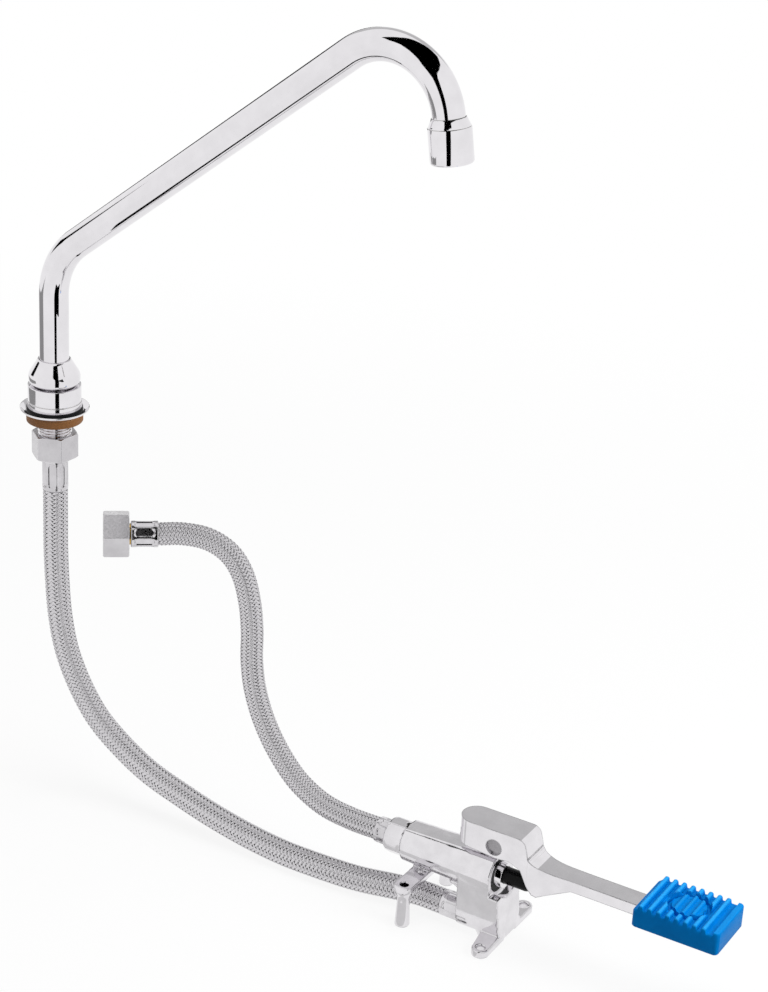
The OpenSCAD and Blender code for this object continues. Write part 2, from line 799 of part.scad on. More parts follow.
// Tapered barrel with a flat along its top, and the faceted neck behind it
module barrel() {
    flat_rear_z = barrel_z + barrel_rear_r - flat_rear_drop;
    flat_front_z = barrel_z + barrel_r - flat_front_drop;
    slope = (flat_front_z - flat_rear_z) / barrel_len;
    difference() {
        translate([barrel_rear_x, 0, barrel_z]) rotate([0, 90, 0])
            cylinder(h = barrel_len, r1 = barrel_rear_r, r2 = barrel_r);
        side_plate([
            [barrel_rear_x - overrun, flat_rear_z - slope * overrun],
            [barrel_front_x + overrun, flat_front_z + slope * overrun],
            [barrel_front_x + overrun, barrel_z + 2 * barrel_r],
            [barrel_rear_x - overrun, barrel_z + 2 * barrel_r]
        ], 2 * barrel_r);
    }
    translate([barrel_rear_x - shoulder_len, 0, barrel_z]) rotate([0, 90, 0])
        cylinder(h = shoulder_len, r1 = neck_af / 2, r2 = barrel_rear_r - flat_rear_drop);
    intersection() {
        translate([inlet_x, 0, barrel_z]) rotate([0, 90, 0]) rotate([0, 0, 22.5])
            cylinder(h = neck_len, r = neck_af / 2 / cos(22.5), $fn = 8);
        translate([inlet_x, 0, barrel_z]) rotate([0, 90, 0])
            cylinder(h = neck_len, r1 = neck_af / 2 - neck_chamfer / 4,
                r2 = neck_af / 2 + neck_len / 2);
    }
}

// Block under the barrel's front end, with rounded lower corners and a raked front
module block() {
    half = block_w / 2;
    top_z = barrel_z;
    rake = block_rake / barrel_z;
    intersection() {
        side_plate([
            [outlet_x, 0], [block_front_x, 0],
            [block_front_x - rake * front_top_z, front_top_z],
            [barrel_front_x, front_top_z], [barrel_front_x, top_z], [outlet_x, top_z]
        ], block_w);
        translate([outlet_x, 0, 0]) rotate([90, 0, 90]) linear_extrude(block_front_x - outlet_x)
            union() {
                translate([-half, block_floor_gap + block_corner_r])
                    square([block_w, top_z - block_floor_gap - block_corner_r]);
                translate([block_corner_r - half, block_floor_gap])
                    square([block_w - 2 * block_corner_r, block_corner_r]);
                for (s = [-1, 1]) translate([s * (half - block_corner_r),
                    block_floor_gap + block_corner_r]) circle(r = block_corner_r);
            }
    }
}

// Concave web between the block's rear face and the barrel
module web() {
    web_top_z = barrel_z - barrel_r + web_bite;
    side_plate(concat(
        arc([outlet_x - web_r, web_top_z - web_r], web_r, 90, 0, 8),
        [[outlet_x + overrun, web_top_z - web_r], [outlet_x + overrun, barrel_z],
         [outlet_x - web_r, barrel_z]]
    ), web_w);
}

// Floor lug on one side of the block
module lug(side) {
    linear_extrude(lug_t) union() {
        translate([0, side * screw_y]) circle(r = lug_r);
        polygon([
            [lug_front_x, side * screw_y], [lug_front_x - 0.02 * lug_root, side * block_w / 4],
            [-lug_r - lug_root, side * block_w / 4], [-lug_r - 0.25 * lug_root, side * block_w / 2],
            [-lug_r, side * screw_y]
        ]);
    }
}

// Rear bracket on its two hollow posts
module bracket() {
    tip_y = screw_y + bracket_tip;
    translate([rear_x, 0, bracket_top - bracket_t]) linear_extrude(bracket_t)
        rounded_rect(bracket_w, 2 * tip_y, bracket_corner_r);
    translate([rear_x, 0, bracket_top - bracket_t]) linear_extrude(barrel_z - bracket_top)
        square([bracket_w, saddle_w], center = true);
    waist_z = bracket_top - bracket_t - post_flare;
    for (s = [-1, 1]) translate([rear_x, s * screw_y, 0]) {
        cylinder(h = waist_z, r1 = post_foot_r, r2 = post_waist_r);
        translate([0, 0, waist_z]) cylinder(h = post_flare, r1 = post_waist_r, r2 = post_head_r);
    }
}

// Tongue on the barrel that carries the lever's pin
module tongue() {
    root = 2.2 * tongue_r;
    foot_z = barrel_z + barrel_rear_r / 2;
    translate([0, tongue_w / 2, 0]) rotate([90, 0, 0]) linear_extrude(tongue_w) union() {
        translate([pivot_x, pivot_z]) circle(r = tongue_r);
        polygon([
            [pivot_x - tongue_r, pivot_z], [pivot_x + tongue_r, pivot_z],
            [barrel_front_x, pivot_z - tongue_r], [barrel_front_x, foot_z],
            [pivot_x - root, foot_z], [pivot_x - tongue_r, pivot_z - tongue_r]
        ]);
    }
}

// Water space inside the valve
module waterway() {
    x_rod(inlet_x - overrun, 0, barrel_z, inlet_port_depth + overrun, port_bore_r);
    x_rod(inlet_x, 0, barrel_z, chamber_x - inlet_x + overrun, port_thread_r);
    x_rod(chamber_x, 0, barrel_z, seat_x - chamber_x + overrun, chamber_r);
    x_rod(seat_x, 0, barrel_z, gland_x - seat_x + overrun, seat_bore_r);
    x_rod(gland_x, 0, barrel_z, barrel_front_x - gland_x + overrun, gland_bore_r);
    x_rod(outlet_x - overrun, outlet_y, outlet_z, outlet_port_depth + overrun, port_bore_r);
    x_rod(outlet_x, outlet_y, outlet_z, outlet_port_depth + outlet_thread_len, port_thread_r);
    translate([passage_x, outlet_y, outlet_z]) cylinder(h = barrel_z - outlet_z, r = passage_r);
}

module valve_body() {
    color("silver") at_valve() difference() {
        union() {
            barrel();
            block();
            web();
            lug(1);
            lug(-1);
            bracket();
            tongue();
        }
        waterway();
        x_rod(barrel_front_x, 0, barrel_z, block_front_x - barrel_front_x + overrun,
            barrel_r - front_lip_t);
        for (s = [-1, 1]) {
            translate([0, s * screw_y, -overrun])
                cylinder(h = lug_t + 2 * overrun, r = screw_hole_r);
            translate([rear_x, s * screw_y, -overrun])
                cylinder(h = bracket_top + 2 * overrun, r = screw_hole_r);
            translate([rear_x, s * inner_hole_y, bracket_top - bracket_t - overrun])
                cylinder(h = bracket_t + 2 * overrun, r = inner_hole_r);
        }
        translate([pivot_x, tongue_w, pivot_z]) rotate([90, 0, 0])
            cylinder(h = 2 * tongue_w, r = pin_bore_r);
    }
}

module valve_seat() {
    color("goldenrod") at_valve() difference() {
        x_rod(seat_x, 0, barrel_z, seat_t, seat_r);
        x_rod(seat_x - overrun, 0, barrel_z, seat_t + 2 * overrun, orifice_r);
    }
}

module valve_disc() {
    color("black") at_valve() difference() {
        x_rod(seat_x - disc_t, 0, barrel_z, disc_t - thread_gap, disc_r);
        x_rod(seat_x - disc_t - overrun, 0, barrel_z, disc_t + 2 * overrun, rod_r + thread_gap);
    }
}

module valve_stem() {
    tip_x = head_rear_x + head_socket;
    color("goldenrod") at_valve() {
        x_rod(spring_front_x - guide_len, 0, barrel_z, tip_x - spring_front_x + guide_len, rod_r);
        x_rod(spring_front_x, 0, barrel_z, stem_flange_t, disc_r);
    }
}

module stem_head() {
    dome_x = head_show - head_r;
    color("black") at_valve() difference() {
        union() {
            x_rod(head_rear_x, 0, barrel_z, dome_x - head_rear_x, head_r);
            intersection() {
                translate([dome_x, 0, barrel_z]) sphere(r = head_r);
                x_rod(dome_x, 0, barrel_z, 2 * head_r, 2 * head_r);
            }
        }
        x_rod(head_rear_x - overrun, 0, barrel_z, head_socket + soft_gap + overrun,
            rod_r + thread_gap);
    }
}

module stem_o_ring() {
    color("black") at_valve() translate([stem_ring_x, 0, barrel_z]) rotate([0, 90, 0])
        torus(head_bore_r + stem_ring_minor_r, stem_ring_minor_r);
}

module stem_gland() {
    color("silver") at_valve() difference() {
        union() {
            x_rod(gland_x + thread_gap, 0, barrel_z, gland_flange_t, gland_r);
            x_rod(gland_x + thread_gap, 0, barrel_z, gland_hub_x - gland_x, gland_hub_r);
        }
        x_rod(gland_x - overrun, 0, barrel_z, gland_hub_x - gland_x + 2 * overrun + soft_gap,
            head_bore_r);
        x_rod(stem_ring_x - stem_ring_minor_r - soft_gap, 0, barrel_z,
            2 * (stem_ring_minor_r + soft_gap), gland_ring_groove_r);
    }
}

module gland_seal() {
    rear_x = gland_x + gland_flange_t + soft_gap;
    color("black") at_valve() translate([rear_x, 0, barrel_z]) rotate([0, 90, 0])
        washer(gland_r, gland_hub_r + thread_gap, gland_seal_front_x - rear_x);
}

// Return spring between the shoulder of the chamber and the stem's flange
module return_spring() {
    rear_x = chamber_x + spring_wire / 2 + thread_gap;
    front_x = spring_front_x - spring_wire / 2 - thread_gap;
    steps = spring_turns * spring_steps;
    path = [for (i = [0:steps]) let (a = 360 * i / spring_steps) [
        rear_x + (front_x - rear_x) * i / steps, spring_r * cos(a), spring_r * sin(a)]];
    gap = (front_x - rear_x) / spring_turns - spring_wire;
    echo(least_gap_in_spring = gap);
    color("gray") at_valve() translate([0, 0, barrel_z])
        swept(path, spring_wire / 2, spring_sides, [1, 0, 0]);
}

// Side of the lever in the pivot's frame
function lever_outline() = concat(
    [[-head_back, head_top]],
    arc([shoulder_x, head_top - shoulder_r], shoulder_r, 90, 14, 8),
    bend([groove_x, 0], [groove_x + 0.35 * shoulder_r, -arm_top_drop],
        [arm_root_x, -arm_top_drop], 8),
    [[plate_x + plate_len, -arm_top_drop], [plate_x + plate_len, plate_lift - arm_bottom_drop],
     [plate_x, plate_lift - arm_bottom_drop], [plate_x, -arm_bottom_drop],
     [web_root_x, -arm_bottom_drop], [nose_x, -nose_drop]],
    [for (p = nose_face_shares) [p[0] * nose_x, p[1] * nose_drop]],
    [[-head_back, -head_under]]
);

// Left half of the lever's top view in the pivot's frame, from the rear end to the front
function lever_side() =
    let (corner = pad_corner_r, plate_y = plate_w / 2 - corner)
    concat(
        arc([lever_r - head_back, 0], lever_r, 180, 90, 12),
        bend([groove_x, lever_r], [waist_pull, arm_r], [waist_x, arm_r], 8),
        [[plate_x, arm_r]],
        arc([plate_x + corner, plate_y], corner, 180, 90, 4),
        arc([plate_x + plate_len - corner, plate_y], corner, 90, 0, 4)
    );

module lever_plan() {
    near = lever_side();
    far = [for (i = [len(near) - 1:-1:1]) [near[i][0], -near[i][1]]];
    polygon(concat(near, far));
}

module at_pivot() {
    at_valve() translate([pivot_x, 0, pivot_z]) children();
}

// Forked lever: its cheeks straddle the tongue and its nose rests on the stem's head
module pedal_lever() {
    depth = nose_drop + head_top;
    half_slot = tongue_w / 2 + slot_gap;
    color("silver") at_pivot() difference() {
        intersection() {
            side_plate(lever_outline(), plate_w);
            translate([0, 0, -depth]) linear_extrude(2 * depth) lever_plan();
        }
        translate([-slot_back, -half_slot, slot_roof - depth])
            cube([slot_back + slot_front, 2 * half_slot, depth]);
        rotate([90, 0, 0]) cylinder(h = 2 * lever_w, r = pin_bore_r, center = true);
        for (s = [-1, 1])
            translate([0, s * (lever_r + overrun / 2 - (pin_recess + pin_head_t) / 2), 0])
                rotate([90, 0, 0]) cylinder(h = pin_recess + pin_head_t + overrun,
                    r = pin_cheek_r, center = true);
        translate([groove_x + groove_r / 2, 0, 0]) rotate([90, 0, 0])
            cylinder(h = 2 * lever_w, r = groove_r, center = true);
    }
}

module pivot_pin() {
    half = lever_r - pin_recess - pin_head_t;
    color("silver") at_pivot() rotate([90, 0, 0]) {
        cylinder(h = 2 * half, r = pin_r, center = true);
        for (s = [-1, 1]) translate([0, 0, s * (half + pin_head_t / 2)])
            cylinder(h = pin_head_t, r = pin_head_r, center = true);
    }
}

// One rib across the pad, with a round top and domed ends
module rib(x) {
    half = pad_w / 2 - rib_side - rib_r;
    for (z = [rib_h - rib_r, rib_h - rib_r - rib_step]) translate([x, 0, z]) {
        rotate([90, 0, 0]) cylinder(h = 2 * half, r = rib_r, center = true);
        for (s = [-1, 1]) translate([0, s * half, 0]) sphere(r = rib_r);
    }
}

// Every round rib of the pad's top
module ribs() {
    for (i = [0:rib_count - 1]) rib(rib_margin + i * rib_pitch);
}

module pedal_pad() {
    cavity_h = arm_t - plate_lift + soft_gap;
    plate_z = pad_bottom_drop - arm_bottom_drop + plate_lift - soft_gap / 2;
    panel_x = rib_margin + rib_pitch * rib_count / 2;
    color("dodgerblue") at_pivot() translate([pad_x, 0, -pad_bottom_drop]) difference() {
        union() {
            translate([pad_len / 2, 0, 0]) linear_extrude(pad_t)
                rounded_rect(pad_len, pad_w, pad_corner_r);
            translate([0, 0, pad_t]) {
                difference() {
                    ribs();
                    translate([panel_x, 0, -overrun])
                        cylinder(h = rib_h + 2 * overrun, r = ring_r);
                }
                translate([panel_x, 0, -panel_groove])
                    cylinder(h = panel_rise + panel_groove, r = panel_r);
                intersection() {
                    translate([0, 0, -panel_rib_drop]) ribs();
                    translate([panel_x, 0, -overrun]) cylinder(h = rib_h + overrun, r = panel_r);
                }
                intersection() {
                    translate([pad_len - end_rib_w / 2, 0, 0]) linear_extrude(rib_h - end_rib_drop)
                        rounded_rect(end_rib_w, pad_w - rib_side, rib_r);
                    translate([pad_len / 2, 0, 0]) linear_extrude(rib_h)
                        rounded_rect(pad_len, pad_w, pad_corner_r);
                }
            }
        }
        translate([plate_x - pad_x + plate_len / 2, 0, plate_z]) linear_extrude(cavity_h)
            rounded_rect(plate_len + soft_gap, plate_w + soft_gap, pad_corner_r);
        translate([-overrun, -arm_r - soft_gap / 2, -overrun])
            cube([plate_x - pad_x + 2 * overrun, arm_w + soft_gap, plate_z + cavity_h + overrun]);
        side_plate([[-overrun, pad_t - band_drop], [rib_margin - rib_r, pad_t],
            [rib_margin - rib_r, pad_t + overrun], [-overrun, pad_t + overrun]],
            pad_w + overrun);
        translate([panel_x, 0, pad_t - panel_groove]) washer(ring_r, panel_r, 2 * panel_groove);
    }
}

spout_tube();
outlet_collar();
aerator_housing();
aerator_insert();
aerator_seal();
spout_tail();
spout_o_rings();
slip_ring();
spout_cap_nut();
base_body();
deck_seal();
escutcheon();
clamp_washer();
outlet_hose_nut();
outlet_hose_gasket();
outlet_hose_tail();
outlet_hose_ferrule();
outlet_hose();
outlet_valve_ferrule();
outlet_valve_tail();
supply_nut();
supply_gasket();
supply_tail();
supply_ferrule();
supply_hose();
inlet_valve_ferrule();
inlet_valve_tail();
valve_body();
valve_seat();
valve_disc();
valve_stem();
stem_head();
stem_o_ring();
stem_gland();
gland_seal();
return_spring();
pedal_lever();
pivot_pin();
pedal_pad();
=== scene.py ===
"""Foot pedal faucet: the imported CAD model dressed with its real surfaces.

Lengths are millimetres in the frame of the CAD model, whose origin is where the
shank's axis meets the deck; meshes and sockets take them in metres.
"""
import logging
from dataclasses import dataclass, field
from enum import Enum
from functools import cache
from math import copysign, cos, hypot, pi, radians, sin, sqrt, tanh
from typing import Callable, Sequence

import bmesh
import bpy
from bmesh.types import BMesh
from bpy.types import NodeSocket, NodeTree, Object
from mathutils import Matrix, Vector


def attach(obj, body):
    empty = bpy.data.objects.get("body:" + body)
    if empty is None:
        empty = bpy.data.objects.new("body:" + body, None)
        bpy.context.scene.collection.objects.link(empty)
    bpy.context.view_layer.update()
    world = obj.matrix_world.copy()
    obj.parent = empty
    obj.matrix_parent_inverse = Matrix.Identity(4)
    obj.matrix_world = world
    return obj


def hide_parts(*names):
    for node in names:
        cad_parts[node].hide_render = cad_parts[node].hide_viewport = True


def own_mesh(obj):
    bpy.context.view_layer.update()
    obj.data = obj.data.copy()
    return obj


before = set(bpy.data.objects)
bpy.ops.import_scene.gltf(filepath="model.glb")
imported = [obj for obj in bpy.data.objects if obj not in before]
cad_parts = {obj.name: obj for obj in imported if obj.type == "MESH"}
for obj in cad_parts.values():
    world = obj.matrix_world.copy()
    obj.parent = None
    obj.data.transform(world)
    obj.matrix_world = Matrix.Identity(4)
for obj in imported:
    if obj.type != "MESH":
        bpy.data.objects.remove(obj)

LOG = logging.getLogger("faucet")
MM = 0.001
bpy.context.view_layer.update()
PHOTO_SIZE = (768, 992)
SENSOR_MM = 36.0
# Just under the lowest face of the foot valve.
FLOOR_Z = -250.2
# Points this close are one.
WELD_GAP = 0.001

Point = Sequence[float]
Route = Sequence[Vector]
Frames = Sequence[tuple[Vector, Vector]]


# The scene's objects and the camera

def place_object(name: str, data: bpy.types.ID) -> Object:
    """Adds an object to the scene.

    Args:
        name: The object's name.
        data: Its camera, lamp or mesh.

    Returns:
        The object.
    """
    made = bpy.data.objects.new(name, data)
    bpy.context.scene.collection.objects.link(made)
    return made


def place_mesh(name: str, mesh: BMesh) -> Object:
    """Adds a mesh to the scene as an object.

    Args:
        name: The name of the object and its data.
        mesh: The mesh in metres, which is freed here.

    Returns:
        The object.
    """
    data = bpy.data.meshes.new(name)
    mesh.to_mesh(data)
    mesh.free()
    return place_object(name, data)


@dataclass
class PhotoCamera:
    """The camera that took the photograph, solved from the part's own lines."""

    turn_deg: float = 29.577
    pitch_deg: float = 24.085
    roll_deg: float = 3.114
    focal_px: float = 2355.3
    place: Point = (835.7, -1058.9, 551.5)
    nearest: float = 50.0
    farthest: float = 60000.0

    def build(self) -> None:
        """Adds the camera and makes it the scene's own."""
        data = bpy.data.cameras.new("photo_camera")
        data.sensor_width = SENSOR_MM
        data.lens = self.focal_px * SENSOR_MM / max(PHOTO_SIZE)
        data.clip_start, data.clip_end = self.nearest * MM, self.farthest * MM
        camera = place_object("photo_camera", data)
        turn, pitch, roll = map(radians, (self.turn_deg, self.pitch_deg, self.roll_deg))
        aim = Matrix.Rotation(turn, 4, "Z") @ Matrix.Rotation(pi / 2 - pitch, 4, "X")
        camera.matrix_world = (Matrix.Translation(Vector(self.place) * MM) @ aim
                               @ Matrix.Rotation(roll, 4, "Z"))
        bpy.context.scene.camera = camera


# Materials

# How rough the two noises are, and what most of their values lie between.
FINE_NOISE = {"Detail": 3.0, "Roughness": 0.55}
BROAD_NOISE = {"Detail": 4.0, "Roughness": 0.6}
NOISE_SPAN = {"From Min": 0.3, "From Max": 0.7}
# An edge's colour, which is wear on most finishes and painted dark reflection and shade on the lever
# and the casting, grows as the rounded normal turns away from the face's. It comes in patches, which
# leave a part of it everywhere, and it adds to the roughness.
EDGE_SPAN = {"From Min": 0.99, "From Max": 0.93}
PATCH_SPAN = {"From Min": 0.35, "From Max": 0.6, "To Min": 0.3}
WORN_DULLNESS = 0.1
# How strongly the painted highlight on crests shows, and how round and how gritty pebbles and wires are.
CREST_GAIN = 1.2
PEBBLE_ROUND, PEBBLE_GRIT = 0.6, 0.7
WIRE_ROUND, WIRE_GRIT = 0.5, 0.15
WHITE = (1.0, 1.0, 1.0, 1.0)


def linear(hex_colour: str) -> tuple[float, float, float, float]:
    """Turns an sRGB hex colour to the linear one that a socket takes.

    Args:
        hex_colour: Six hex digits, such as "0085DA".

    Returns:
        Linear red, green, blue and an alpha of 1.
    """
    shares = [int(hex_colour[i:i + 2], 16) / 255 for i in (0, 2, 4)]
    return (*(v / 12.92 if v <= 0.04045 else ((v + 0.055) / 1.055) ** 2.4 for v in shares), 1.0)


def add_node(tree: NodeTree, kind: str, inputs: dict | None = None,
             **settings: object) -> NodeSocket | None:
    """Adds one shader node with its settings, values and links.

    Args:
        tree: The material's or world's node tree.
        kind: Blender's name for the kind of shader node, such as "Bump".
        inputs: A value, or an output socket to link, for each input.
        settings: The node's own properties.

    Returns:
        Its first output, or None where it has none.
    """
    node = tree.nodes.new("ShaderNode" + kind)
    for name, value in settings.items():
        setattr(node, name, value)
    for key, value in (inputs or {}).items():
        if isinstance(value, NodeSocket):
            tree.links.new(value, node.inputs[key])
        else:
            node.inputs[key].default_value = value
    return node.outputs[0] if node.outputs else None


def empty_tree(owner: bpy.types.ID) -> NodeTree:
    """Gives a material or a world an empty node tree.

    Args:
        owner: The material or the world.

    Returns:
        Its node tree.
    """
    owner.use_nodes = True
    owner.node_tree.nodes.clear()
    return owner.node_tree


class Grain(Enum):
    """How a surface was made, which sets the way its marks run."""

    BUFFED = "buffed"
    DRAWN = "drawn"
    FIBROUS = "fibrous"
    MOULDED = "moulded"
    WOVEN = "woven"


@dataclass(frozen=True)
class Finish:
    """One real surface: its colours, its gloss and the marks of its making.

    The tone drifts between shade and colour, the gloss varies with the grain and
    with handling marks, and edges that hands and tools reach are rubbed. Some
    finishes also carry painted light: a painted highlight on crests, and painted
    dark reflection and shade on edges and creases.
    """

    name: str
    colour: str
    shade: str
    grain: Grain
    grain_mm: float
    depth_mm: float
    roughness: float
    spread: float
    metallic: float = 0.0
    specular: float = 0.5
    stretch: tuple[float, float, float] = (1.0, 1.0, 1.0)
    drift_mm: float = 14.0
    handling: float = 0.02
    # The edge colour: rubbed wear on most finishes; on the lever and the cast valve, painted dark reflection
    # on edges and painted shade in creases.
    worn: str = ""
    wear_and_shade_mm: float = 0.6
    # The colour of a painted highlight on the highest part of the piece.
    crest: str = ""
    crest_share: float = 1.0

    def build(self) -> bpy.types.Material:
        """Makes the material from patterns at the grain's real size.

        Returns:
            The node-based material.
        """
        material = bpy.data.materials.new(self.name)
        tree = empty_tree(material)
        place = add_node(tree, "TexCoord").node.outputs["Object"]
        laid = add_node(tree, "Mapping", {"Vector": place, "Scale": self.stretch})
        fine = add_node(tree, "TexNoise", {"Vector": laid, "Scale": 1 / (self.grain_mm * MM), **FINE_NOISE})
        broad = add_node(tree, "TexNoise", {
            "Vector": place, "Scale": 1 / (self.drift_mm * MM), **BROAD_NOISE})
        tone = add_node(tree, "MapRange", {"Value": broad, **NOISE_SPAN})
        height = fine
        if self.grain is Grain.WOVEN:
            # The wires' height also sets their tone: painted shade in the valleys between wires.
            height = tone = self._wires(tree, fine)
        elif self.grain is Grain.MOULDED:
            # The low pebbles that a spark-eroded mould leaves on its plastic.
            cells = add_node(tree, "TexVoronoi", {
                "Vector": laid, "Scale": 1 / (self.grain_mm * MM), "Smoothness": PEBBLE_ROUND},
                feature="SMOOTH_F1")
            height = add_node(tree, "Math", {0: fine, 1: PEBBLE_GRIT, 2: cells}, operation="MULTIPLY_ADD")
        elif self.grain is Grain.FIBROUS:
            tone = fine
        gloss = add_node(tree, "MapRange", {
            "Value": fine, **NOISE_SPAN, "To Min": self.roughness - self.spread,
            "To Max": self.roughness + self.spread})
        gloss = add_node(tree, "Math", {0: broad, 1: self.handling, 2: gloss}, operation="MULTIPLY_ADD")
        paint = add_node(tree, "Mix", {
            0: tone, 6: linear(self.shade), 7: linear(self.colour)}, data_type="RGBA").node.outputs[2]
        # A painted highlight pales the highest part of the piece.
        if self.crest:
            paint = self._painted_crest_highlight(tree, paint, fine)
        # Edge colour: rubbed wear on most finishes; on the lever and the cast valve, painted dark reflection
        # on edges and painted shade in creases.
        if self.worn:
            edge = self._edge_wear_and_shade(tree, broad)
            paint = add_node(tree, "Mix", {
                0: edge, 6: paint, 7: linear(self.worn)}, data_type="RGBA").node.outputs[2]
            gloss = add_node(tree, "Math", {0: edge, 1: WORN_DULLNESS, 2: gloss}, operation="MULTIPLY_ADD")
        bump = add_node(tree, "Bump", {"Height": height, "Strength": 1.0, "Distance": self.depth_mm * MM})
        shader = add_node(tree, "BsdfPrincipled", {
            "Base Color": paint, "Roughness": gloss, "Normal": bump, "Metallic": self.metallic,
            "Specular IOR Level": self.specular})
        add_node(tree, "OutputMaterial", {"Surface": shader})
        return material

    def _painted_crest_highlight(self, tree: NodeTree, paint: NodeSocket, fine: NodeSocket) -> NodeSocket:
        """Pales the highest part of the piece: a painted highlight on its crests.

        Args:
            tree: The material's node tree.
            paint: The colour so far.
            fine: The fine noise that breaks up the painted highlight.

        Returns:
            The socket of the new colour.
        """
        place = add_node(tree, "TexCoord")
        height = add_node(tree, "SeparateXYZ", {"Vector": place}).node.outputs["Z"]
        high = add_node(tree, "MapRange", {
            "Value": height, "From Min": self.crest_share, "To Max": CREST_GAIN})
        share = add_node(tree, "Math", {0: high, 1: fine}, operation="MULTIPLY")
        return add_node(tree, "Mix", {
            0: share, 6: paint, 7: linear(self.crest)}, data_type="RGBA").node.outputs[2]

    def _edge_wear_and_shade(self, tree: NodeTree, broad: NodeSocket) -> NodeSocket:
        """Finds the edges: 1 where the surface turns sharply, 0 on a face.

        Args:
            tree: The material's node tree.
            broad: The slow noise that breaks the edge colour into patches.

        Returns:
            The socket of the share that takes the edge colour: wear on most finishes, painted dark
            reflection and shade on the lever and the casting.
        """
        turned = add_node(tree, "Bevel", {"Radius": self.wear_and_shade_mm * MM}, samples=4)
        faced = add_node(tree, "NewGeometry").node.outputs["Normal"]
        match = add_node(tree, "VectorMath", {0: turned, 1: faced},
                         operation="DOT_PRODUCT").node.outputs["Value"]
        edge = add_node(tree, "MapRange", {"Value": match, **EDGE_SPAN})
        patch = add_node(tree, "MapRange", {"Value": broad, **PATCH_SPAN})
        return add_node(tree, "Math", {0: edge, 1: patch}, operation="MULTIPLY")

    @staticmethod
    def _wires(tree: NodeTree, fine: NodeSocket) -> NodeSocket:
        """Draws the side-by-side wires of a plait across its width.

        Args:
            tree: The material's node tree.
            fine: The fine noise that the wires are roughened with.

        Returns:
            The socket of the height, 0 between wires and 1 on their crowns.
        """
        sheet = add_node(tree, "UVMap", uv_map="plait")
        across = add_node(tree, "SeparateXYZ", {"Vector": sheet}).node.outputs["Y"]
        wave = add_node(tree, "Math", {0: across, 1: 1.0}, operation="PINGPONG")
        crown = add_node(tree, "Math", {0: wave, 1: WIRE_ROUND}, operation="POWER")
        return add_node(tree, "Math", {0: fine, 1: WIRE_GRIT, 2: crown},
                        operation="MULTIPLY_ADD", use_clamp=True)


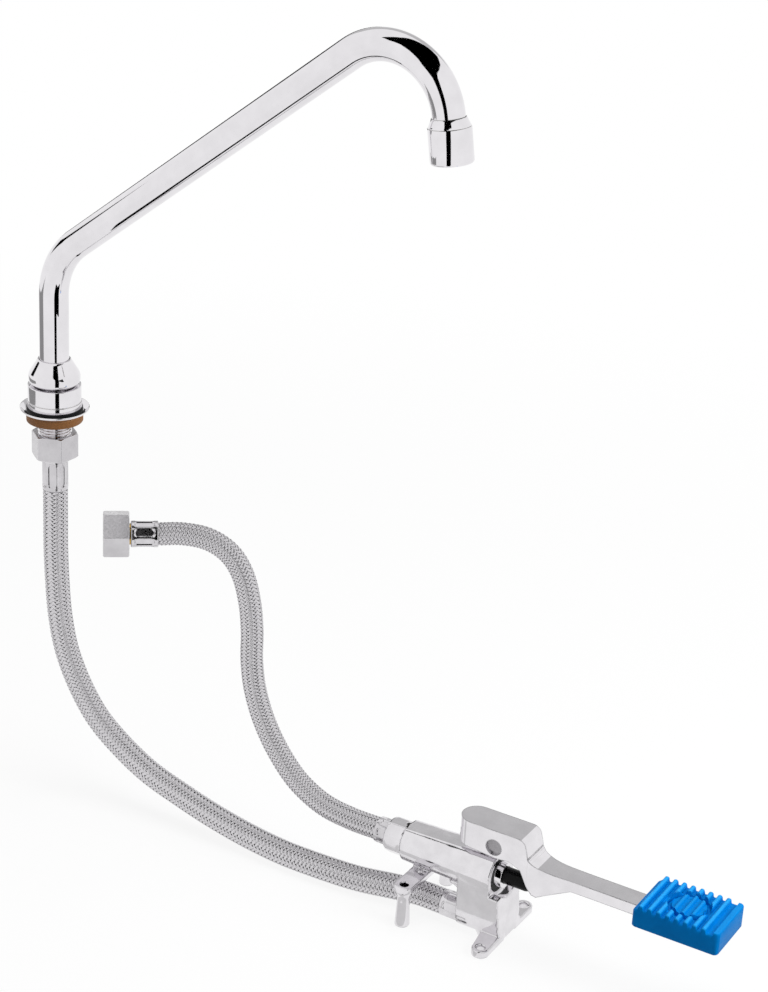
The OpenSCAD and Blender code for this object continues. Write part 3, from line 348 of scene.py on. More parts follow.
class Surface(Enum):
    """Each finish of the faucet, by what the real surface is."""

    # Brass plated with chrome and buffed: a mirror with a faint orange peel,
    # a little duller where the plate is rubbed.
    CHROME = Finish("polished_chrome_plate", "E8E6E9", "DFDDE0", Grain.BUFFED, 9, 0.006, 0.045, 0.015,
                    metallic=1, worn="D6D5D3")
    # The lever wears the same plate. Its edges are drawn dark in a painted dark
    # reflection, for the thin dark lines that the photograph's studio gives them.
    LEVER_CHROME = Finish("chrome_plate_painted_dark_edges", "E8E6E9", "DCDADD", Grain.BUFFED, 8, 0.008, 0.06, 0.02,
                          metallic=1, worn="3C3B3E", wear_and_shade_mm=1.0)
    # The foot valve's casting is buffed less, so its mirror is softer and wavy,
    # with its edges drawn dark in painted dark reflection and its creases in painted shade, as on the lever.
    CAST_CHROME = Finish("buffed_chrome_on_casting", "E8E6E9", "D8D6D9", Grain.BUFFED, 7, 0.02, 0.08, 0.025,
                         metallic=1, worn="5C5B5E", wear_and_shade_mm=1.2)
    # Nickel-plated brass, turned and tumbled: a soft silvery sheen with specks.
    NICKEL = Finish("tumbled_nickel_plate", "CFCDD0", "BFBDC0", Grain.BUFFED, 1.4, 0.006, 0.2, 0.05,
                    metallic=1, worn="F2F1F2")
    # Thin stainless tube, crimped: bright, with draw lines along its length.
    SLEEVE = Finish("rolled_stainless_sleeve", "DCDADD", "C6C4C7", Grain.DRAWN, 0.5, 0.003, 0.12, 0.04,
                    metallic=1, stretch=(1, 1, 0.15), worn="F2F2F2")
    # Stainless wire in plaits: bright crowns, with painted shade in the dark lines
    # between wires. A real wire is 0.2 mm; these are drawn at twice that, so that they show.
    BRAID = Finish("woven_stainless_wire", "E8E6E9", "747275", Grain.WOVEN, 0.8, 0.03, 0.3, 0.04, metallic=1)
    # The hose's own dark lining, seen between the plaits.
    LINING = Finish("hose_lining_epdm", "2C2C2D", "1E1E1F", Grain.MOULDED, 0.6, 0.01, 0.6, 0.05)
    # Hard-drawn wire: plain grey, with fine lines along it.
    SPRING = Finish("drawn_spring_wire", "A9ABAE", "8F9194", Grain.DRAWN, 0.3, 0.004, 0.28, 0.05, metallic=1)
    # The pin's end: turned steel, dull beside the chrome round it.
    PIN = Finish("turned_steel_pin", "A3A1A4", "8A888B", Grain.BUFFED, 1.0, 0.01, 0.3, 0.06, metallic=1)
    # Turned brass: warm and bright, with rings from the tool.
    BRASS = Finish("turned_brass", "D8B76A", "C29F52", Grain.DRAWN, 0.5, 0.004, 0.25, 0.05, metallic=1,
                   stretch=(0.2, 0.2, 2))
    # Vulcanised fibre, cut from sheet: brown, dry, with fibres lying flat and
    # a pale fluffy edge.
    FIBRE = Finish("vulcanised_fibre", "A87240", "714620", Grain.FIBROUS, 1.6, 0.05, 0.6, 0.1,
                  stretch=(1, 1, 2.5), worn="C9AA86", wear_and_shade_mm=0.5)
    # Nitrile seal: near black with a soft moulded skin.
    SEAL = Finish("nitrile_rubber", "111214", "0A0A0B", Grain.MOULDED, 0.5, 0.01, 0.45, 0.08, specular=0.15,
                  worn="1E1E22")
    # Black acetal: smooth from a polished mould.
    HEAD = Finish("moulded_acetal_black", "0B0B0C", "060607", Grain.MOULDED, 0.6, 0.004, 0.3, 0.05,
                  specular=0.12, worn="1C1C1E")
    # White acetal, a touch warm.
    ACETAL = Finish("moulded_acetal_white", "E9E8E2", "DEDCD4", Grain.MOULDED, 0.6, 0.006, 0.38, 0.06)
    # Injection-moulded soft vinyl: saturated blue with a fine satin skin, with a
    # painted highlight that pales the rib crests.
    PAD = Finish("moulded_blue_vinyl", "0084D8", "007BCD", Grain.MOULDED, 0.7, 0.012, 0.42, 0.05,
                 specular=0.03, crest="37B4FE", crest_share=0.93)

    @cache
    def material(self) -> bpy.types.Material:
        """Gives the surface's material, made on its first use."""
        return self.value.build()


@dataclass(frozen=True)
class Dress:
    """What a carried-over CAD node wears, and how its edges are eased.

    A turned or pressed piece has its edges broken by a width; a casting gets a
    skin of even cells instead, whose corners are melted round.
    """

    surface: Surface
    edge: float = 0.0
    segments: int = 2
    cast_cell: float = 0.0


# Pieces and their edges

# Edges that turn more than this are broken. A casting's skin is smoothed by a
# share, some times over.
BEVEL_FROM_DEG = 28
MELT_SHARE, MELT_PASSES = 0.5, 8


def make_piece(name: str, mesh: BMesh, surfaces: Sequence[Surface], body: str,
               replaces: Sequence[str], smooth_deg: float = 35) -> Object:
    """Turns a mesh into a named piece that rides on a body.

    Args:
        name: The piece's name.
        mesh: Its mesh in metres, which is freed here.
        surfaces: The finishes that its faces' material numbers stand for.
        body: The CAD body that it moves with.
        replaces: The CAD nodes it stands for.
        smooth_deg: Edges sharper than this stay crisp.

    Returns:
        The object.
    """
    bmesh.ops.recalc_face_normals(mesh, faces=mesh.faces)
    for face in mesh.faces:
        face.smooth = True
    for edge in mesh.edges:
        if len(edge.link_faces) == 2 and edge.calc_face_angle() > radians(smooth_deg):
            edge.smooth = False
    made = place_mesh(name, mesh)
    made.data.validate()
    for surface in surfaces:
        made.data.materials.append(surface.material())
    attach(made, body)
    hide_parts(*replaces)
    LOG.info("%s: %d faces", name, len(made.data.polygons))
    return made


def dress(nodes: dict[str, Dress]) -> None:
    """Gives carried-over CAD nodes their surfaces and broken edges.

    Args:
        nodes: What each node wears.
    """
    for name, worn in nodes.items():
        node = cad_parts[name]
        node.data.materials.clear()
        node.data.materials.append(worn.surface.material())
        if worn.edge:
            break_edges(node, worn.edge, worn.segments)
        if worn.cast_cell:
            melt_edges(node, worn.cast_cell)
        LOG.info("%s: %s", name, worn.surface.value.name)


def break_edges(piece: Object, width: float, segments: int) -> None:
    """Rounds the sharp edges of a piece, as tumbling or buffing does.

    Args:
        piece: The object that gets the modifiers.
        width: The width of the rounding.
        segments: How many faces turn each edge.
    """
    weld = piece.modifiers.new("weld", "WELD")
    weld.merge_threshold = WELD_GAP * MM
    bevel = piece.modifiers.new("edges", "BEVEL")
    bevel.width = width * MM
    bevel.segments = segments
    bevel.limit_method = "ANGLE"
    bevel.angle_limit = radians(BEVEL_FROM_DEG)
    bevel.harden_normals = True


def melt_edges(piece: Object, cell: float) -> None:
    """Rounds every corner and fills every inner angle, as sand casting does.

    Args:
        piece: The object that gets the modifiers.
        cell: The size of the skin's cells.
    """
    skin = piece.modifiers.new("skin", "REMESH")
    skin.mode = "VOXEL"
    skin.voxel_size = cell * MM
    skin.use_smooth_shade = True
    melt = piece.modifiers.new("melt", "SMOOTH")
    melt.factor, melt.iterations = MELT_SHARE, MELT_PASSES


def carve(mesh: BMesh, boxes: Sequence[tuple[Point, Point]]) -> BMesh:
    """Cuts boxes out of a closed mesh.

    Args:
        mesh: The mesh, in metres, which is freed here.
        boxes: The low and the high corner of each box.

    Returns:
        The mesh with the hollows.
    """
    cutter = bmesh.new()
    for low, high in boxes:
        middle = (Vector(low) + Vector(high)) / 2
        size = Vector(high) - Vector(low)
        bmesh.ops.create_cube(cutter, size=1.0, matrix=Matrix.Translation(middle * MM)
                              @ Matrix.Diagonal((*(size * MM), 1)))
    for shape in (mesh, cutter):
        bmesh.ops.recalc_face_normals(shape, faces=shape.faces)
    blocks = [place_mesh("carved", mesh), place_mesh("cutter", cutter)]
    cut = blocks[0].modifiers.new("hollow", "BOOLEAN")
    cut.operation, cut.solver, cut.object, cut.use_self = "DIFFERENCE", "EXACT", blocks[1], True
    bpy.context.view_layer.update()
    hollow = bmesh.new()
    hollow.from_object(blocks[0], bpy.context.evaluated_depsgraph_get())
    for block in blocks:
        bpy.data.meshes.remove(block.data)
    bmesh.ops.dissolve_degenerate(hollow, dist=WELD_GAP * MM, edges=hollow.edges)
    return hollow


# Curves and skins

def smoothstep(share: float) -> float:
    """Eases a share from 0 to 1 at both ends."""
    return share * share * (3 - 2 * share)


def arc(centre: Vector, radius: float, start: float, end: float, steps: int) -> list[Vector]:
    """Lays points along an arc in the XZ plane.

    Args:
        centre: The arc's centre.
        radius: Its radius.
        start: The angle it starts at, in radians from X towards Z.
        end: The angle it ends at.
        steps: How many spans it has.

    Returns:
        Its points, both ends among them.
    """
    angles = (start + (end - start) * step / steps for step in range(steps + 1))
    return [centre + radius * Vector((cos(a), 0, sin(a))) for a in angles]


def smooth_route(points: Sequence[Point], steps: int) -> list[Vector]:
    """Threads one smooth curve through a route's points.

    Args:
        points: The route.
        steps: How many pieces each span is cut into.

    Returns:
        Points along the curve.
    """
    row = [Vector(p) for p in points]
    row = [2 * row[0] - row[1], *row, 2 * row[-1] - row[-2]]
    path = []
    for before, start, end, after in zip(row, row[1:], row[2:], row[3:]):
        for step in range(steps):
            t = step / steps
            path.append(0.5 * (2 * start + (end - before) * t
                               + (2 * before - 5 * start + 4 * end - after) * t * t
                               + (3 * start - before - 3 * end + after) * t ** 3))
    path.append(row[-2])
    return path


def even_route(path: Route, spacing: float) -> list[Vector]:
    """Spaces a curve's points evenly along its length.

    Args:
        path: The curve's points.
        spacing: About how far apart the new ones are.

    Returns:
        The new points, from the same start to the same end.
    """
    far = [0.0]
    for a, b in zip(path, path[1:]):
        far.append(far[-1] + (b - a).length)
    count = round(far[-1] / spacing)
    even, at = [], 0
    for step in range(count + 1):
        want = far[-1] * step / count
        while at < len(far) - 2 and far[at + 1] < want:
            at += 1
        even.append(path[at].lerp(path[at + 1], (want - far[at]) / (far[at + 1] - far[at])))
    return even


def headings(path: Route) -> list[Vector]:
    """Gives the unit vector along a curve at each of its points."""
    last = len(path) - 1
    return [(path[min(i + 1, last)] - path[max(i - 1, 0)]).normalized() for i in range(last + 1)]


def carried_frames(path: Route) -> Frames:
    """Carries a pair of cross axes along a curve without twist.

    Args:
        path: The curve's points.

    Returns:
        Two unit vectors across the curve for each point.
    """
    ahead = headings(path)
    side = ahead[0].orthogonal().normalized()
    frames = []
    for i, way in enumerate(ahead):
        if i:
            side = ahead[i - 1].rotation_difference(way) @ side
        side = (side - way * side.dot(way)).normalized()
        frames.append((side, way.cross(side)))
    return frames


def tube_rings(path: Route, frames: Frames, radius: float, sides: int) -> list[list[Vector]]:
    """Lays a ring round each point of a curve.

    Args:
        path: The curve's points.
        frames: The axes across it.
        radius: The rings' radius.
        sides: How many points each has.

    Returns:
        The rings.
    """
    turns = [2 * pi * k / sides for k in range(sides)]
    return [[point + radius * (cos(a) * side + sin(a) * up) for a in turns]
            for point, (side, up) in zip(path, frames)]


def loft(mesh: BMesh, rings: Sequence[Route], closed: bool = False) -> list[bmesh.types.BMFace]:
    """Skins rings of points, which are in millimetres, into a mesh in metres.

    Args:
        mesh: The mesh that takes the faces.
        rings: Rings of equally many points.
        closed: Whether the last ring joins the first; if not, both are filled.

    Returns:
        The new side faces.
    """
    rows = [[mesh.verts.new(Vector(p) * MM) for p in ring] for ring in rings]
    pairs = list(zip(rows, rows[1:]))
    if closed:
        pairs.append((rows[-1], rows[0]))
    faces = []
    for low, high in pairs:
        for i in range(len(low)):
            j = (i + 1) % len(low)
            faces.append(mesh.faces.new((low[i], low[j], high[j], high[i])))
    if not closed:
        mesh.faces.new(rows[0][::-1])
        mesh.faces.new(rows[-1])
    return faces


def round_ring(radius: Callable[[float], float], z: float, sides: int) -> list[Vector]:
    """Lays points round the Z axis, at a radius that may change with the turn.

    Args:
        radius: Gives the radius at a turn from 0 to 1.
        z: The ring's height.
        sides: How many points it has.

    Returns:
        The ring's points.
    """
    return [Vector((radius(k / sides) * cos(2 * pi * k / sides),
                    radius(k / sides) * sin(2 * pi * k / sides), z)) for k in range(sides)]


def eased(profile: Sequence[tuple[float, float]], width: float, steps: int) -> list[tuple[float, float]]:
    """Rounds the corners of a turned profile, as a tool and the buffing do.

    Args:
        profile: Radius and height of each corner; it closes on itself.
        width: How far each rounding reaches along its two sides.
        steps: How many spans turn each corner.

    Returns:
        The rounded profile.
    """
    corners = [Vector(p) for p in profile]
    points = []
    for before, corner, after in zip(corners[-1:] + corners[:-1], corners, corners[1:] + corners[:1]):
        start = corner + (before - corner).normalized() * min(width, (before - corner).length / 3)
        end = corner + (after - corner).normalized() * min(width, (after - corner).length / 3)
        for step in range(steps + 1):
            t = step / steps
            points.append(tuple((1 - t) ** 2 * start + 2 * t * (1 - t) * corner + t * t * end))
    return points


# Hoses

@dataclass
class Ferrule:
    """A sleeve crimped onto a hose's end by a die of eight jaws."""

    node: str
    start: Point
    end: Point
    outer_r: float = 8.0
    bore_r: float = 5.01
    panels: int = 8
    panel_depth: float = 0.3
    land_share: float = 0.2
    rim_len: float = 2.2
    rim_round: float = 0.5
    sides: int = 128
    spacing: float = 0.35
    across_power: int = 4
    along_power: int = 8
    slope_share: float = 0.16

    def radius(self, turn: float, along: float, length: float) -> float:
        """Gives the sleeve's radius, with flat panels pressed between round lands.

        Args:
            turn: The turn round the sleeve, from 0 to 1.
            along: The way along it.
            length: Its length.

        Returns:
            The radius at that spot.
        """
        side = 2 * ((turn * self.panels) % 1) - 1
        across = abs(side) / (1 - self.land_share)
        reach = abs(2 * along - length) / (length - 2 * self.rim_len)
        inside = 1 - (across ** self.across_power + reach ** self.along_power) ** (1 / self.across_power)
        pressed = smoothstep(min(1.0, max(0.0, inside / self.slope_share)))
        half = pi / self.panels
        flat = self.outer_r * cos(half) / cos(half * side) - self.panel_depth
        edge = max(0.0, 1 - min(along, length - along) / self.rim_round)
        rolled = self.rim_round * (1 - sqrt(1 - edge * edge))
        return (1 - pressed) * self.outer_r + pressed * min(flat, self.outer_r) - rolled

    def build(self) -> str:
        """Presses the sleeve.

        Returns:
            The name of the piece.
        """
        start, end = Vector(self.start), Vector(self.end)
        length = (end - start).length
        ahead = (end - start).normalized()
        side = ahead.orthogonal().normalized()
        up = ahead.cross(side)
        rows = round(length / self.spacing)
        rings = []
        for along in (length * row / rows for row in range(rows + 1)):
            rings.append(round_ring(lambda turn: self.radius(turn, along, length), along, self.sides))
        for along in (length, 0.0):
            rings.append(round_ring(lambda turn: self.bore_r, along, self.sides))
        rings = [[start + p.x * side + p.y * up + p.z * ahead for p in ring] for ring in rings]
        mesh = bmesh.new()
        loft(mesh, rings, closed=True)
        name = "crimped_" + self.node
        make_piece(name, mesh, (Surface.SLEEVE,), "base", (self.node,), smooth_deg=50)
        return name


@dataclass
class BraidedHose:
    """A rubber hose in a plaited sleeve of stainless wire, with its fittings."""

    name: str
    node: str
    diameter: float
    route: tuple[Point, ...]
    turn_pitch: float
    fittings: dict[str, Dress]
    ferrules: tuple[Ferrule, ...]
    plaits: int = 16
    plait_share: float = 0.86
    weave_depth: float = 0.7
    plait_t: float = 0.42
    shoulder_drop: float = 0.2
    wave_flatness: float = 1.6
    wires: int = 5
    lining_gap: float = 0.95
    lining_sides: int = 24
    lining_stride: int = 3
    route_steps: int = 8
    spacing: float = 0.8

    def build(self) -> None:
        path = even_route(smooth_route(self.route, self.route_steps), self.spacing)
        frames = carried_frames(path)
        mesh = bmesh.new()
        wire_count = mesh.loops.layers.uv.new("plait")
        # The hose itself, which closes the view between the plaits.
        step = self.lining_stride
        rings = tube_rings(path[::step] + path[-1:], frames[::step] + frames[-1:],
                           self.diameter / 2 - self.lining_gap, self.lining_sides)
        for face in loft(mesh, rings):
            face.material_index = 1
        for index in range(self.plaits):
            for way in (1, -1):
                self._plait(mesh, path, frames, wire_count, index, way)
        crimped = [ferrule.build() for ferrule in self.ferrules]
        sleeve = make_piece(self.name, mesh, (Surface.BRAID, Surface.LINING), "base", (self.node,),
                            smooth_deg=60)
        dress(self.fittings)

    def _plait(self, mesh: BMesh, path: Route, frames: Frames,
               wire_count: bmesh.types.BMLayerItem, index: int, way: int) -> None:
        """Adds one plait of wires, over two of the others and under two.

        Args:
            mesh: The sleeve's mesh.
            path: The hose's centre line.
            frames: The axes across it.
            wire_count: The layer that counts the wires across a plait.
            index: The plait's number round the hose.
            way: 1 for one hand of helix, -1 for the other.
        """
        lift, flat = self.weave_depth / 2, self.wave_flatness
        half = self.plait_share * pi / self.plaits
        # Across a plait: share of its half width, drop below its crown, wires passed.
        section = ((-1.0, self.shoulder_drop, 0.0), (-0.45, 0.0, 0.28), (0.45, 0.0, 0.72),
                   (1.0, self.shoulder_drop, 1.0), (0.9, self.plait_t, 1.0), (-0.9, self.plait_t, 0.0))
        rings, run = [], 0.0
        for i, (point, (side, up)) in enumerate(zip(path, frames)):
            if i:
                run += (point - path[i - 1]).length
            turn = 2 * pi * (index / self.plaits + way * run / self.turn_pitch)
            phase = 2 * index + way * 2 * self.plaits * run / self.turn_pitch
            wave = way * cos(pi / 2 * (phase - 0.5))
            crown = self.diameter / 2 - lift + lift * tanh(flat * wave) / tanh(flat)
            rings.append([point + (crown - drop) * (cos(turn + share * half) * side
                                                    + sin(turn + share * half) * up)
                          for share, drop, _ in section])
        first = len(mesh.verts)
        loft(mesh, rings)
        mesh.verts.index_update()
        mesh.faces.ensure_lookup_table()
        made = len(section) * (len(rings) - 1) + 2
        for face in mesh.faces[-made:]:
            for loop in face.loops:
                passed = section[(loop.vert.index - first) % len(section)][2]
                loop[wire_count].uv = (0, 2 * self.wires * passed)


UNION_NUT = Dress(Surface.NICKEL, 0.6, 3)
TAIL = Dress(Surface.BRASS)
GASKET = Dress(Surface.SEAL)

OUTLET_HOSE = BraidedHose(
    "braided_outlet_hose", "outlet_hose", 15.6,
    ((0, 0, -51), (0, 0, -71), (0, 0, -93), (1, 0, -116), (4, -1, -139), (10, -2, -161), (21, -3, -182),
     (37, -5, -200), (57, -6, -214), (80, -8, -224), (105, -9, -231), (131, -11, -236), (157, -12, -240),
     (184, -13, -242), (211, -13, -242), (237, -11, -242), (260, -7, -241), (278, -5, -240),
     (294, -5, -240)),
    43.0,
    {"outlet_hose_nut": UNION_NUT, "outlet_hose_gasket": GASKET, "outlet_hose_tail": TAIL,
     "outlet_valve_tail": TAIL},
    (Ferrule("outlet_hose_ferrule", (0, 0, -29.6), (0, 0, -51)),
     Ferrule("outlet_valve_ferrule", (294, -5, -240), (312.8, -5, -240))))
SUPPLY_HOSE = BraidedHose(
    "braided_supply_hose", "supply_hose", 14.0,
    ((93, -20, -49), (105, -11, -49), (118, -3, -52), (130, 2, -60), (139, 3, -72), (145, 2, -88),
     (148, 1, -106), (149, 0, -125), (152, 0, -144), (159, 0, -163), (170, 0, -181), (185, 0, -197),
     (204, 0, -207), (224, 0, -210), (244, 0, -210)),
    37.0,
    {"supply_nut": UNION_NUT, "supply_gasket": GASKET, "supply_tail": TAIL, "inlet_valve_tail": TAIL},
    (Ferrule("supply_ferrule", (79.88, -29.84, -49), (93, -20, -49)),
     Ferrule("inlet_valve_ferrule", (244, 0, -210), (262.8, 0, -210))))


# Spout

@dataclass
class Spout:
    """The bent tube from the swivel to the outlet, and the pieces on its ends."""

    radius: float = 9.0
    wall: float = 1.5
    foot_z: float = 30.5
    column_top_z: float = 75.0
    column_bend_r: float = 47.0
    arm_rise_deg: float = 38.2
    arm_len: float = 232.0
    outlet_bend_r: float = 38.0
    lean_deg: float = 9.0
    sides: int = 64
    bend_steps: int = 40
    pieces: dict[str, Dress] = field(default_factory=lambda: {
        "outlet_collar": Dress(Surface.CHROME, 0.25), "aerator_housing": Dress(Surface.CHROME, 0.25),
        "aerator_insert": Dress(Surface.ACETAL), "aerator_seal": GASKET, "spout_tail": TAIL,
        "spout_o_rings": GASKET, "slip_ring": Dress(Surface.ACETAL),
        "spout_cap_nut": Dress(Surface.CHROME, 0.3)})

    def line(self) -> list[Vector]:
        """Draws the tube's centre line.

        Returns:
            Its points from the foot to the outlet.
        """
        rise, lean = radians(self.arm_rise_deg), radians(self.lean_deg)
        tilt = pi / 2 + rise
        centre = Vector((self.column_bend_r, 0, self.column_top_z))
        column_bend = arc(centre, self.column_bend_r, pi, tilt, self.bend_steps)
        arm_end = column_bend[-1] + self.arm_len * Vector((cos(rise), 0, sin(rise)))
        centre = arm_end + self.outlet_bend_r * Vector((sin(rise), 0, -cos(rise)))
        outlet_bend = arc(centre, self.outlet_bend_r, tilt, lean, self.bend_steps)
        return [Vector((0, 0, self.foot_z)), *column_bend, *outlet_bend]

    def build(self) -> None:
        """Sweeps the tube with its bore open at both ends, and dresses the rest."""
        path = self.line()
        across = Vector((0, 1, 0))
        frames = [(across, way.cross(across)) for way in headings(path)]
        outside, inside = (tube_rings(path, frames, radius, self.sides)
                           for radius in (self.radius, self.radius - self.wall))
        mesh = bmesh.new()
        loft(mesh, outside + inside[::-1], closed=True)
        make_piece("bent_spout_tube", mesh, (Surface.CHROME,), "spout", ("spout_tube",))
        dress(self.pieces)


# Deck mount

@dataclass
class DeckMount:
    """The turned body with its threaded shank, and what clamps it to the deck."""

    shank_r: float = 10.4775
    shank_len: float = 23.8
    shank_chamfer: float = 0.8
    thread_pitch: float = 1.814
    thread_depth: float = 1.1
    thread_top: float = -0.6
    thread_fade: float = 1.2
    rows_per_pitch: int = 10
    sides: int = 96
    corner: float = 0.25
    corner_steps: int = 3
    # Radius and height of each corner, from the deck up and down the bore.
    profile: tuple[tuple[float, float], ...] = (
        (10.4775, 0.0), (10.4775, 4.3), (16.8, 4.3), (16.8, 7.9), (16.05, 7.9), (16.05, 8.2), (16.35, 8.2),
        (16.35, 18.2), (16.05, 18.5), (13.3, 18.5), (13.3, 15.3), (11.5, 15.3), (11.5, 27.5), (8.66, 27.5),
        (8.66, 8.5), (6.0, 8.5), (6.0, -23.8))
    pieces: dict[str, Dress] = field(default_factory=lambda: {
        "deck_seal": Dress(Surface.SEAL, 0.3), "escutcheon": Dress(Surface.CHROME, 0.2),
        "clamp_washer": Dress(Surface.FIBRE, 0.4)})

    def thread_radius(self, turn: float, z: float) -> float:
        """Gives the thread's radius, which runs out to the full shank at both ends.

        Args:
            turn: The turn round the shank, from 0 to 1.
            z: The height.

        Returns:
            The radius at that spot.
        """
        into = min(1.0, (self.thread_top - z) / self.thread_fade, (z + self.shank_len) / self.thread_fade)
        groove = 0.5 - 0.5 * cos(2 * pi * (z / self.thread_pitch - turn))
        return self.shank_r - self.thread_depth * max(0.0, into) * groove

    def build(self) -> None:
        """Turns the body with a real helical thread, and dresses the rest."""
        low = -self.shank_len
        threaded = self.shank_len - self.shank_chamfer
        rings = [round_ring(lambda turn: self.shank_r - self.shank_chamfer, low, self.sides)]
        count = round(threaded * self.rows_per_pitch / self.thread_pitch)
        for row in range(count):
            z = low + self.shank_chamfer + threaded * row / count
            rings.append(round_ring(lambda turn: self.thread_radius(turn, z), z, self.sides))
        # The profile's two ends keep their sharp corners.
        cut = self.corner_steps + 1
        for radius, z in eased(self.profile, self.corner, self.corner_steps)[cut:-cut] + [self.profile[-1]]:
            rings.append(round_ring(lambda turn: radius, z, self.sides))
        mesh = bmesh.new()
        loft(mesh, rings, closed=True)
        body = make_piece("threaded_deck_body", mesh, (Surface.CHROME,), "base", ("base_body",))
        body.modifiers.new("flat_faces", "WEIGHTED_NORMAL").keep_sharp = True
        dress(self.pieces)


# Foot valve and pedal

@dataclass
class ReturnSpring:
    """The coil behind the stem's disc, which the stem's travel presses short."""

    rear: Point = (272.12, 0.0, -210.0)
    length: float = 10.26
    coil_r: float = 7.0
    wire: float = 1.0
    turns: float = 4.5
    travel: float = 5.8
    steps: int = 28
    sides: int = 12

    def build(self) -> None:
        """Coils the wire, which rides on the base."""
        count = round(self.turns * self.steps)
        rise = self.length - self.wire
        path = []
        for step in range(count + 1):
            a = 2 * pi * step / self.steps
            path.append(Vector(self.rear) + Vector((self.wire / 2 + rise * step / count,
                                                    self.coil_r * cos(a), self.coil_r * sin(a))))
        mesh = bmesh.new()
        loft(mesh, tube_rings(path, carried_frames(path), self.wire / 2, self.sides))
        spring = make_piece("coiled_return_spring", mesh, (Surface.SPRING,), "base",
                            ("return_spring",))
        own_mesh(spring)


@dataclass
class FootValve:
    """The cast valve on the floor, with the stem that the pedal pushes."""

    spring: ReturnSpring = field(default_factory=ReturnSpring)
    pieces: dict[str, Dress] = field(default_factory=lambda: {
        "valve_body": Dress(Surface.CAST_CHROME, cast_cell=0.6), "valve_seat": TAIL, "valve_stem": TAIL,
        "valve_disc": GASKET, "stem_o_ring": GASKET, "gland_seal": GASKET,
        "stem_gland": Dress(Surface.CHROME, 0.2), "stem_head": Dress(Surface.HEAD, 0.3)})

    def build(self) -> None:
        """Coils the spring and dresses the valve's parts."""
        self.spring.build()
        dress(self.pieces)


